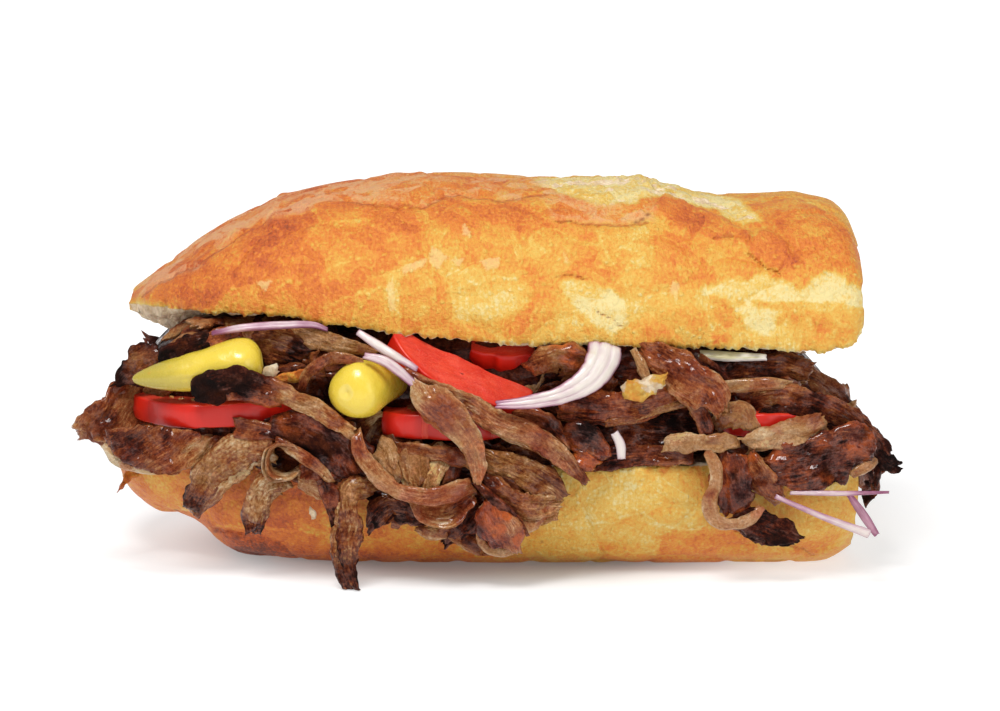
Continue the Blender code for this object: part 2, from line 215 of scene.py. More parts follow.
def newTree(name, inputs):
    # a geometry tree with named inputs, and the wires that they start as
    tree = bpy.data.node_groups.new(name, "GeometryNodeTree")
    tree.is_modifier = True
    tree.interface.new_socket("Geometry", in_out="INPUT", socket_type="NodeSocketGeometry")
    for label, (kind, value) in inputs.items():
        socket = tree.interface.new_socket(label, in_out="INPUT", socket_type="NodeSocket" + kind)
        if value is not None:
            socket.default_value = value
    tree.interface.new_socket("Geometry", in_out="OUTPUT", socket_type="NodeSocketGeometry")
    graph = Graph(tree)
    entry = tree.nodes.new("NodeGroupInput")
    wires = {output.name: Wire(graph, output) for output in entry.outputs if output.name}
    return graph, wires


def endTree(graph, geometry, material):
    realised = graph.node("GeometryNodeRealizeInstances", None, {0: geometry})
    painted = graph.node("GeometryNodeSetMaterial", None, {"Geometry": realised, "Material": material})
    last = graph.tree.nodes.new("NodeGroupOutput")
    graph.tree.links.new(painted.socket, last.inputs[0])


# ---- bread ----

bread = {
    "roundness": 2.3,
    "spacing": 0.7,
    "leansBack": 0.04,
    # place, half width, height of the front edge, height of the crown
    "upper": [(-106.5, 8, 75.0, 78.2), (-102.5, 18, 76.6, 81.5), (-96, 27, 77.4, 86.8), (-87, 35, 77.8, 94),
              (-75, 42, 77.9, 101.5), (-58, 47, 78.2, 108.8), (-38, 49.5, 75.2, 112.6), (-12, 50, 72.4, 114.6),
              (16, 50, 70.6, 113.4), (45, 50, 70.0, 113.4), (68, 50, 69.4, 108.4), (88, 49.5, 68.8, 108.4),
              (101.5, 49, 68.8, 107), (106.6, 47.5, 70.8, 103.6), (109.2, 44.5, 74.6, 98)],
    # place, half width, height of the opened face, height of the keel
    "lower": [(-112, 9, 33.0, 26.5), (-108, 19, 34.0, 18.0), (-101, 27, 34.5, 11.8), (-92, 34, 34.5, 10.8),
              (-85, 38.5, 34.5, 7.5), (-77.5, 42, 34.5, -0.8), (-67, 45.5, 34.5, -3.6), (-52, 48.5, 34.5, -5.2),
              (-25, 50.5, 34.5, -6), (20, 51, 34.5, -6), (65, 50.5, 34.5, -6), (98, 49.5, 34.0, -5),
              (108.3, 46, 31.5, 1.2)],
    "hangingCrumb": (-88, -4, 24, 30, 11.0),  # centre x and y, reach x and y, depth
    # colour, from burnt through gold to cream
    "crustStops": [(0.0, rgb(108, 44, 16)), (0.2, rgb(188, 84, 26)), (0.42, rgb(216, 120, 37)),
                   (0.62, rgb(220, 158, 57)), (0.8, rgb(222, 182, 84)), (1.0, rgb(228, 208, 144))],
    # crack: darker colour along cracks and creases, partly the crust's own and partly painted shade in the creases
    # skin: the pale skin colour of the top crust, carrying a painted sheen of light grazing the top
    "crumb": rgb(244, 222, 190), "flake": rgb(232, 204, 140), "crack": rgb(178, 78, 28), "skin": rgb(222, 170, 128), "burnt": rgb(112, 44, 20),
}

# marks on the crust, as they look from the front: across and up, in mm
# plates: change of tone, lift, softness of the edge, outline
upperMarks = {
    "plates": [
        (-0.15, 0.2, 1.2, [(-99, 83), (-84, 86), (-72, 82), (-72, 78), (-79, 71), (-96, 69), (-102, 75)]),
        (-0.12, 0.2, 1.5, [(-72, 94), (-58, 97), (-51, 94), (-55, 87), (-63, 82), (-72, 85)]),
        (-0.10, 0.2, 1.5, [(-30, 102), (-20, 100), (-14, 92), (-18, 88), (-26, 93), (-33, 98)]),
        (-0.10, 0.1, 2.0, [(-14, 103), (10, 103), (17, 97), (4, 91), (-11, 93)]),
        (0.16, 0.3, 1.0, [(-29, 81), (-24, 85), (-16, 85), (-15, 74), (-18, 69), (-28, 69)]),
        (0.12, 0.2, 2.0, [(-10, 84), (6, 84), (14, 76), (8, 68), (-8, 68), (-14, 74)]),
        (0.4, -0.3, 0.9, [(13, 110), (23, 105), (32, 102), (42, 102), (47, 104), (52, 104), (63, 101), (68, 100), (75, 95), (81, 97),
                           (76, 103), (66, 108), (42, 114), (21, 113)]),
        (-0.17, 1.2, 0.6, [(49, 100), (52, 105), (62, 101), (69, 98), (77, 93), (77, 89), (69, 90), (59, 92), (52, 97)]),
        (-0.18, 0.9, 0.7, [(75, 91), (81, 93), (87, 92), (88, 87), (92, 83), (85, 82), (77, 86)]),
        (-0.10, 0.3, 1.5, [(84, 100), (100, 101), (107, 94), (106, 84), (98, 82), (88, 84), (84, 92)]),
        (0.10, 0.5, 0.5, [(33, 94), (46, 95), (48, 88), (47, 83), (36, 84), (32, 86)]),
        (0.30, -0.3, 1.0, [(21, 79), (30, 79), (40, 74), (40, 68), (36, 64), (30, 67), (23, 74)]),
        (0.34, -0.4, 0.7, [(61, 76), (68, 79), (76, 80), (80, 82), (87, 79), (90, 76), (95, 80), (101, 82), (105, 78), (110, 77),
                           (110, 71), (100, 73), (92, 73), (80, 73), (70, 74)]),
        (0.26, -0.2, 1.0, [(70, 74), (85, 71), (83, 63), (76, 65)]),
        (-0.08, 0.6, 0.8, [(5, 68), (7, 71), (13, 74), (18, 73), (20, 69), (21, 60), (4, 60)]),
        (-0.08, 0.6, 0.8, [(47, 69), (53, 71), (59, 72), (65, 69), (67, 60), (46, 60)]),
        (-0.20, 0.2, 0.8, [(66, 64), (70, 64), (70, 61), (66, 61)]),
        (-0.18, 0.2, 1.0, [(93, 70), (98, 69), (98, 64), (94, 65)]),
        (-0.14, 0.2, 0.9, [(23, 67), (30, 65), (31, 61), (22, 61)]),
        (-0.10, 0.0, 1.4, [(88, 70), (93, 70), (94, 65), (88, 65)]),
        (0.14, 0.0, 1.6, [(-106, 72), (-98, 74), (-88, 69), (-106, 66)]),
    ],
    "flakes": [
        [(-67, 79), (-62, 79), (-64, 76)], [(-25, 83), (-17, 86), (-18, 83), (-24, 81)], [(-10, 85), (-6, 86), (-8, 82)],
        [(-7, 97), (-4, 91), (-7, 92)], [(-2, 85), (4, 86), (4, 83), (0, 82)], [(-16, 89), (-11, 86), (-14, 82), (-17, 85)],
        [(54, 79), (56, 78), (55, 74), (53, 76)], [(-29, 78), (-27, 80), (-26, 71), (-28, 70)], [(22, 88), (24, 85), (23, 84)],
    ],
    # lines: pale lines along wrinkles and plate edges, partly paler crust and partly painted highlight where edges
    # catch light
    "lines": [
        [(-79, 71), (-72, 79), (-72, 85)], [(-48, 71), (-41, 74), (-31, 77)], [(-60, 78), (-53, 79)], [(32, 94), (34, 89), (36, 84)],
        [(-84, 84), (-74, 95)], [(-62, 97), (-50, 100)], [(-46, 96), (-36, 97), (-28, 93)], [(-66, 86), (-60, 90)],
        [(46, 95), (48, 88), (47, 83)], [(-6, 78), (2, 80), (10, 79)], [(-44, 84), (-36, 86)],
    ],
    # dark lines along cracks and creases, partly painted shade in the crease
    "shadedCracks": [
        [(20, 96.5), (32, 95.5), (47, 96)], [(20, 81), (24, 81), (28, 80)], [(76, 87), (80, 84), (85, 81.5)],
        [(-103, 75), (-96, 79), (-85, 84), (-79, 88), (-72, 93)], [(-41, 103), (-31, 101), (-19, 101), (-11, 105)],
        [(-11, 105), (4, 103), (18, 105)], [(32, 70), (40, 66)], [(66, 91), (72, 92)],
    ],
    # outlines of the pale top skin, which also carries a painted sheen of light grazing the crust
    "skinAndSheen": [
        [(-104, 75), (-96, 79), (-85, 83), (-79, 88), (-74, 94), (-62, 97), (-50, 101), (-41, 103), (-31, 102), (-19, 102),
         (-11, 105), (4, 104), (21, 105), (14, 120), (-60, 120), (-108, 90)],
        [(4, 111), (17, 107), (23, 105), (32, 102), (49, 103), (48, 97), (32, 96.5), (19, 97.5), (17, 103), (4, 104)],
    ],
    "burnt": [(45.3, 97.2), (43.6, 96.6), (47, 98.4)],
}
lowerMarks = {
    "plates": [
        (0.10, 0.4, 0.8, [(-112, 26), (-100, 30), (-84, 24), (-83, 13), (-90, 12), (-97, 13), (-106, 17)]),
        # the darker plates along the bottom edge: partly a darker baked underside, partly painted shade of the
        # underside and its creases
        (-0.12, -0.1, 1.2, [(-82, 7), (-66, 4), (-46, 1), (-20, 0), (-20, -3), (-77, -3)]),
        (-0.10, -0.2, 2.6, [(50, 0), (51, 4), (55, 7), (62, 7), (73, 7), (83, 3), (91, 1), (83, -2), (70, -3), (51, -3)]),
        (0.05, 0.4, 0.7, [(27, 14), (31, 9), (37, 9), (40, 11), (46, 12), (50, 9), (54, 7), (62, 7), (64, 9), (66, 24), (24, 24)]),
        (-0.10, 0, 1.2, [(90, 4), (104, 6), (104, 0), (90, -1)]),
    ],
    "flakes": [[(-91, 13), (-83, 12.6), (-88, 11.8)], [(57, 7.5), (63, 7.8), (60, 6.8)]],
    # pale lines along creases and plate edges, partly painted highlight
    "lines": [
        [(-97, 13), (-90, 12), (-83, 12)], [(-84, 6), (-75, 8), (-66, 7.5), (-46, 5)], [(27, 14), (31, 9), (37, 9), (40, 11), (46, 12),
        (50, 9), (54, 7), (62, 7), (64, 9)], [(51, 4), (50, 0)], [(73, 7), (83, 3), (91, 1)], [(27, 1), (35, -0.5), (45, 0.5), (50, 0)],
    ],
    # dark lines along cracks and creases, partly painted shade
    "shadedCracks": [[(-82, 6.5), (-66, 3.5)], [(73, 6), (83, 2)], [(88, 2), (97, -1)]],
    # a patch of pale skin, with the same painted sheen
    "skinAndSheen": [[(44, 30), (66, 30), (64, 26), (52, 25), (46, 27)]],
    "burnt": [(-80.5, 5.5), (-74, 4), (-93, 12), (16, 3)],
}


def superellipse(angle, power):
    c, s = np.cos(angle), np.sin(angle)
    return np.sign(c) * np.abs(c) ** (2 / power), np.sign(s) * np.abs(s) ** (2 / power)


def soft(value, low, high):
    t = np.clip((value - low) / (high - low), 0, 1)
    return t * t * (3 - 2 * t)


def lineAway(x, h, line):
    away = np.full(x.shape, 1e3)
    for (ax, ah), (bx, bh) in zip(line[:-1], line[1:]):
        dx, dh = bx - ax, bh - ah
        t = np.clip(((x - ax) * dx + (h - ah) * dh) / (dx * dx + dh * dh), 0, 1)
        away = np.minimum(away, np.hypot(x - ax - t * dx, h - ah - t * dh))
    return away


def inside(x, h, outline):
    # distance from an outline, positive inside it
    within = np.zeros(x.shape, bool)
    for (ax, ah), (bx, bh) in zip(outline, outline[1:] + outline[:1]):
        within ^= ((ah > h) != (bh > h)) & (x < ax + (h - ah) / ((bh - ah) or 1) * (bx - ax))
    return lineAway(x, h, outline + outline[:1]) * np.where(within, 1, -1)


def markCrust(marks, points, seed):
    # what the marks do at each point: tone, relief, and how far its flakes, lines and cracks are
    x, y, z = points.T
    h = 57.6 + y * 0.19 + (z - 57.6) * 0.98
    wobble = speckle(x / 2.6, h / 2.6, seed, 3) * 1.3
    facing = 1 - soft(y + wobble * 6, 0, 22)
    tone, relief, line = np.zeros(len(x)), np.zeros(len(x)), np.full(len(x), 9.0)
    for change, lift, softness, outline in marks["plates"]:
        depth = inside(x, h, outline) + wobble
        share = soft(depth, -softness, softness) * facing
        tone += change * share
        relief += lift * soft(depth, -0.6, 0.6) * facing
        # raised plates get a pale outline: partly painted highlight on the lifted edge
        if lift > 0.25:
            line = np.minimum(line, np.abs(depth) + 0.25)
    flake = np.max([inside(x, h, outline) for outline in marks["flakes"]], 0) + wobble * 0.4
    line = np.minimum(line, np.min([lineAway(x, h + wobble, each) for each in marks["lines"]], 0))
    # darker along cracks and creases: partly painted shade in the crease
    crack = np.min([lineAway(x, h + wobble * 0.8, each) for each in marks["shadedCracks"]], 0)
    # where the pale skin and its painted sheen lie, on the front only
    skin = np.max([soft(inside(x, h, outline) + wobble, -1.2, 1.2) for outline in marks["skinAndSheen"]], 0) * facing
    burn = np.max([1 - soft(np.hypot(x - at[0], (h - at[1]) * 1.5) + wobble * 0.5, 0.3, 1.1) for at in marks["burnt"]], 0) * facing
    relief = relief + 0.3 * (flake > 0) * facing - 0.35 * (1 - soft(crack, 0.2, 1.2)) * facing
    far = 9.0 * (y > 16)
    return tone, relief, {"flake": np.clip(flake, -9, 9) - far, "line": np.clip(line, 0, 9) + far,
                          "crack": np.clip(crack, 0, 9) + far, "sheen": skin, "burn": burn}


def blot(x, z, at, reach, wobble):
    # 1 in the middle of a patch and 0 outside, with an uneven edge
    away = np.hypot((x - at[0]) / reach[0], (z - at[1]) / reach[1])
    return 1 - soft(away + wobble, 0.75, 1.15)


def loafSkin(stations, upper):
    # closed skin of one half: crust over the arc, crumb over the opened face, and both ends
    step = bread["spacing"] * fine
    track = curveThrough(stations, 40)
    length = np.concatenate([[0], np.cumsum(np.hypot(*(np.diff(track[:, [0, 3]], axis=0)).T))])
    s = np.linspace(0, length[-1], int(length[-1] / step))
    x, half, face, far = (np.interp(s, length, track[:, k]) for k in range(4))
    countFine, countCoarse, countFace = int(70 / step), int(48 / step), int(100 / (step * 2.6))
    turn = np.concatenate([np.linspace(0, 0.52, countFine), np.linspace(0.52, 1, countCoarse + 1)[1:]])
    turn = turn if upper else 1 - turn[::-1]
    countArc = len(turn)
    across, up = superellipse(turn * np.pi, bread["roundness"])
    side = -1 if upper else 1  # start the arc at the front edge
    y = side * half[:, None] * across
    z = face[:, None] + (far - face)[:, None] * up
    if upper:
        z = z - bread["leansBack"] * (y + half[:, None])
    share = np.linspace(1, -1, countFace + 2)[1:-1]
    faceY = -side * half[:, None] * share
    faceZ = np.repeat(face[:, None], countFace, 1)
    cx, cy, rx, ry, depth = bread["hangingCrumb"]
    if upper:
        faceZ = faceZ - bread["leansBack"] * (faceY + half[:, None])
        faceZ -= depth * np.clip(1 - ((x[:, None] - cx) / rx) ** 2 - ((faceY - cy) / ry) ** 2, 0, None) ** 1.5
    y, z = np.hstack([y, faceY]), np.hstack([z, faceZ])
    x = np.repeat(x[:, None], y.shape[1], 1)
    arc = np.concatenate([turn, np.linspace(1, 0, countFace + 2)[1:-1]]) * 1.38
    crumb = np.concatenate([np.zeros(countArc), np.ones(countFace)])
    crumb[[0, countArc - 1]] = 0.5
    crumb = np.repeat(crumb[None], len(s), 0)
    uv = np.stack([x / 100, np.repeat(arc[None], len(s), 0)], -1)
    body = np.stack([x, y, z], -1)
    far = np.cumsum(np.hypot(np.diff(y[:, :countArc], axis=1), np.diff(z[:, :countArc], axis=1)), 1)
    far = np.hstack([np.zeros((len(s), 1)), far])
    rim = np.hstack([np.minimum(far, far[:, -1:] - far), np.zeros((len(s), countFace))])
    rings, uvs, crumbs, rims = [body], [uv], [crumb], [rim]
    for end in (0, -1):  # both ends shrink to a point in a flat face
        ring = body[end]
        middle = (ring.max(0) + ring.min(0)) / 2
        shares = np.linspace(1, 0.02, int(34 / step))[1:] if end else np.linspace(1, 0.05, 6)[1:]
        cap = middle + (ring - middle) * shares[:, None, None]
        capUv = np.repeat((uv[-1] if end else uv[0])[None], len(shares), 0)
        capCrumb = np.ones(cap.shape[:2]) if end else np.zeros(cap.shape[:2])
        capRim = np.repeat(rim[end][None], len(shares), 0)
        for rows_, new in ((rings, cap if end else cap[::-1]), (uvs, capUv), (crumbs, capCrumb), (rims, capRim)):
            rows_.insert(len(rows_) if end else 0, new)
    points, uv, crumb, rim = (np.vstack(each) for each in (rings, uvs, crumbs, rims))
    countU, countV = points.shape[:2]
    faces = rows(countU, countV, closed=True).tolist()
    faces += [list(range(countV))[::-1], [(countU - 1) * countV + k for k in range(countV)]]
    return points.reshape(-1, 3), faces, uv.reshape(-1, 2), crumb.ravel(), rim.ravel()


def breadReliefTree():
    # crust plates, lumps and blisters on the crust, and pores in the crumb
    graph, wires = newTree("breadRelief", {
        "Plate Size": ("Float", 16 * mm), "Plate Height": ("Float", 0.5 * mm), "Lump Height": ("Float", 1.0 * mm),
        "Blister Height": ("Float", 0.14 * mm), "Pore Depth": ("Float", 1.1 * mm), "Material": ("Material", None)})
    place = graph.node("GeometryNodeInputPosition")
    crumb = graph.node("GeometryNodeInputNamedAttribute", {"data_type": "FLOAT"}, {"Name": "crumb"})
    relief = graph.node("GeometryNodeInputNamedAttribute", {"data_type": "FLOAT"}, {"Name": "relief"})
    warp = graph.node("ShaderNodeTexNoise", None, {"Vector": place, "Scale": 50.0, "Detail": 2.0}, output="Color")
    bent = graph.sum(place, graph.scaled(warp, (0.014, 0.014, 0.014)))
    cells = graph.node("ShaderNodeTexVoronoi", {"feature": "DISTANCE_TO_EDGE"}, {"Vector": bent, "Scale": 1 / wires["Plate Size"]})
    plates = cells.step(0.0, 0.16)
    lumps = graph.noise(place, 0.034, 2) - 0.5
    blisters = graph.noise(place, 0.0022, 3, 0.6) - 0.5
    pores = graph.cells(bent, 0.0034, "SMOOTH_F1").step(0.0, 0.55)
    holes = graph.noise(place, 0.006, 3, 0.6).step(0.36, 0.6)
    crust = plates * wires["Plate Height"] + lumps * wires["Lump Height"] + blisters * wires["Blister Height"]
    inner = (pores * holes - 0.6) * wires["Pore Depth"] + lumps * wires["Lump Height"]
    offset = crust * (1 - crumb) + inner * crumb + relief * mm
    along = graph.node("GeometryNodeInputNormal")
    moved = graph.node("ShaderNodeVectorMath", {"operation": "SCALE"}, {0: along, "Scale": offset})
    raised = graph.node("GeometryNodeSetPosition", None, {"Geometry": wires["Geometry"], "Offset": moved})
    endTree(graph, raised, wires["Material"])
    return graph.tree


def breadLook(graph):
    place = graph.node("ShaderNodeTexCoord", output="Object")
    uv = graph.node("ShaderNodeUVMap", {"uv_map": "along"})
    gold, crumb, burn, sheen, flake, line, crack = (graph.layer(name) for name in ("gold", "crumb", "burn", "sheen", "flake", "line", "crack"))
    warp = graph.node("ShaderNodeTexNoise", None, {"Vector": place, "Scale": 50.0, "Detail": 2.0}, output="Color")
    bent = graph.sum(place, graph.scaled(warp, (0.014, 0.014, 0.014)))
    plateTone = graph.node("ShaderNodeSeparateColor", None, {0: graph.cells(bent, 0.016, output="Color")})
    smallTone = graph.node("ShaderNodeSeparateColor", None, {0: graph.cells(bent, 0.0052, output="Color")})
    # plate edges are lightened a little: painted highlight along the creases
    plateEdge = 1 - graph.cells(bent, 0.016, "DISTANCE_TO_EDGE").step(0.0, 0.035)
    streaks = graph.noise(graph.scaled(uv, (1.0, 0.38, 1.0)), 0.009, 4, 0.65)
    mottle = graph.noise(place, 0.010, 4, 0.65)
    dots = 1 - graph.cells(place, 0.0026).step(0.14, 0.36)
    fineDots = 1 - graph.cells(place, 0.0015).step(0.16, 0.42)
    grain = graph.noise(place, 0.001, 3, 0.7)
    tone = (gold + (plateTone - 0.5) * 0.17 + (smallTone - 0.5) * 0.14 + (mottle - 0.5) * 0.55 + (streaks - 0.5) * 0.45 + (dots - 0.2) * 0.09
            + (fineDots - 0.3) * 0.10 + (grain - 0.5) * 0.5 + plateEdge * 0.04)
    # paler along the lines: partly painted highlight on wrinkles and plate edges
    tone = tone + (1 - line.step(0.1, 0.75)) * 0.13 - grain.step(0.68, 0.74) * 0.12
    crust = graph.node("ShaderNodeValToRGB", {"stops": bread["crustStops"]}, {0: tone})
    crust = graph.mix((flake + (grain - 0.5) * 2.2).step(-0.3, 0.5) * 0.5, crust, bread["flake"])
    # darker colour along cracks and creases: partly painted shade
    crust = graph.mix((1 - (crack + (grain - 0.5) * 0.8).step(0.05, 0.55)) * 0.55, crust, bread["crack"])
    # mixes in the pale skin colour with its painted sheen of grazing light
    crust = graph.mix(sheen * ((mottle + streaks * 0.6 + grain * 0.5 + smallTone * 0.55 - 1.22) * 1.9).most(0).least(0.6), crust, bread["skin"])
    crust = graph.mix(burn * 0.75, crust, bread["burnt"])
    pores = graph.noise(place, 0.0024, 3, 0.6)
    inner = graph.mix(pores.step(0.35, 0.65), rgb(214, 184, 146), bread["crumb"])
    torn = (crumb + (graph.noise(place, 0.003, 3, 0.7) - 0.5) * 0.7).step(0.42, 0.58)
    height = grain * 0.8 + streaks * 0.5 + dots * 0.25 - (1 - crack.step(0.0, 0.5)) * 0.6
    return {"Base Color": graph.mix(torn, crust, inner), "Roughness": (grain * 0.35 + torn * 0.35 + 0.3),
            "Bump": (height, 0.8)}


breadMaterial = newMaterial("bread", breadLook, Specular_IOR_Level=0.45, Coat_Weight=0.0,
                            Subsurface_Weight=0.06, Subsurface_Radius=(1.0, 0.4, 0.15), Subsurface_Scale=0.003)
breadRelief = breadReliefTree()


def upperLoaf():
    points, faces, uv, crumb, rim = loafSkin(bread["upper"], True)
    x, y, z = points.T
    front = uv[:, 1]
    wobble = speckle(x / 9, front * 12, 3, 3) * 0.35
    gold = 0.42 + 0.20 * soft(x, -90, 40) + 0.10 * (1 - soft(z, 74, 96)) - 0.06 * soft(z, 98, 108)
    gold = gold + 0.10 * blot(x, z, (20, 90), (80, 14), wobble) * (y > 10) + 0.2 * blot(x, z, (70, 107), (16, 5), wobble) * (y > 10)
    tone, relief, layers = markCrust(upperMarks, points, 41)
    crumbly = np.exp(-rim / 0.9) * (0.6 + speckle(x / 1.2, y / 20, 6, 3) * 2)
    gold = gold + tone + 0.3 * np.clip(crumbly, 0, 1)
    # painted sheen along the top of the crown at the back, where light grazes it
    layers["sheen"] = np.maximum(layers["sheen"], soft(z, 99, 110) * soft(speckle(x / 14, front * 9, 8, 3), -0.25, 0.35) * soft(y, 2, 22) * 0.8)
    rough = soft(inside(x, 57.6 + y * 0.19 + (z - 57.6) * 0.98, upperMarks["plates"][6][3]), -1, 2) * (1 - soft(y + wobble * 10, 0, 22))
    relief = relief + rough * speckle(x / 2.4, y / 2.4, 44, 3) * 0.9
    for at, size, height in [((-62, 103), 2.2, 1.2), ((-28, 112), 4, 0.7), ((-20, 113), 2.5, 0.7), ((46, 111), 3, 0.8), ((92, 106), 4, 0.7)]:
        relief = relief + height * np.exp(-((x - at[0]) ** 2 + (z - at[1]) ** 2) / size ** 2)
    relief = relief + np.exp(-rim / 1.6) * (speckle(x / 1.3, y / 30, 5, 3) * 1.3 + speckle(x / 4, y / 30, 15, 2) * 0.8) * (crumb < 0.9)
    crumb = np.maximum(crumb, 0.56 * rough * soft(speckle(x / 4, y / 4, 45, 3), -0.3, 0.2))
    made = meshFrom("breadUpper", points, faces, uv, {"gold": gold, "crumb": crumb, "relief": relief, **layers})
    applied(made, breadRelief, {"Material": breadMaterial})
    return finished(made, "bread_upper", breadMaterial)


def lowerLoaf():
    points, faces, uv, crumb, rim = loafSkin(bread["lower"], False)
    points[:, 2] = np.maximum(points[:, 2], 0.3)
    x, y, z = points.T
    wobble = speckle(x / 11, z / 8, 13, 3) * 0.35
    # darker towards the bottom: partly a darker baked underside, partly painted shade where less light reaches
    gold = 0.36 + 0.32 * soft(x, -60, 30) - 0.08 * (1 - soft(z, 1, 9)) + 0.05 * blot(x, z, (44, 22), (24, 12), wobble)
    tone, relief, layers = markCrust(lowerMarks, points, 43)
    gold = gold + tone + 0.25 * np.clip(np.exp(-rim / 0.9) * (0.5 + speckle(x / 1.2, y / 20, 7, 3) * 2), 0, 1)
    # dark patches in the bottom 3 mm: partly a scorched base, partly painted shade where the loaf meets the floor
    layers["burn"] = np.maximum(layers["burn"], 0.3 * (1 - soft(z, 0.3, 3)) * (speckle(x / 3, y / 3, 21, 2) > 0.1))
    relief = relief + np.exp(-rim / 1.4) * speckle(x / 1.8, y / 30, 9, 3) * 0.7 * (crumb < 0.9) - 1.0 * (1 - soft(z, 0.3, 6))
    made = meshFrom("breadLower", points, faces, uv, {"gold": gold, "crumb": crumb, "relief": relief, **layers})
    applied(made, breadRelief, {"Material": breadMaterial, "Lump Height": 0.8 * mm})
    co = np.empty(len(made.data.vertices) * 3)
    made.data.vertices.foreach_get("co", co)
    co = co.reshape(-1, 3)
    co[:, 2] = np.maximum(co[:, 2], 0.0002)
    made.data.vertices.foreach_set("co", co.ravel())
    return finished(made, "bread_lower", breadMaterial)


upperLoaf()
lowerLoaf()
print("bread made")


# ---- meat ----

meatSlice = {
    "spacing": 0.6, "thickness": 2.2, "broad": 1.1,
    "slant": 0.55,  # how far from square the ends are
    "ragged": 0.26,  # share of the width that the sides come and go by
    "fringe": 1.0,  # how far the ends fray
    "wave": 1.3, "waveSize": 11.0, "curl": 0, "lip": 0.0,
    "fibre": 0.5, "fibreWidth": 1.7, "grain": 0, "knobs": 0.0,
    "rim": 0.12, "char": 0.12, "glaze": 0.1,
    "fold": 0.8, "foldWidth": 4.0, "crumple": 0.6, "hem": 0.8, "twist": 8, "sponge": 0, "wet": 0, "layers": 1, "shade": 0,
}


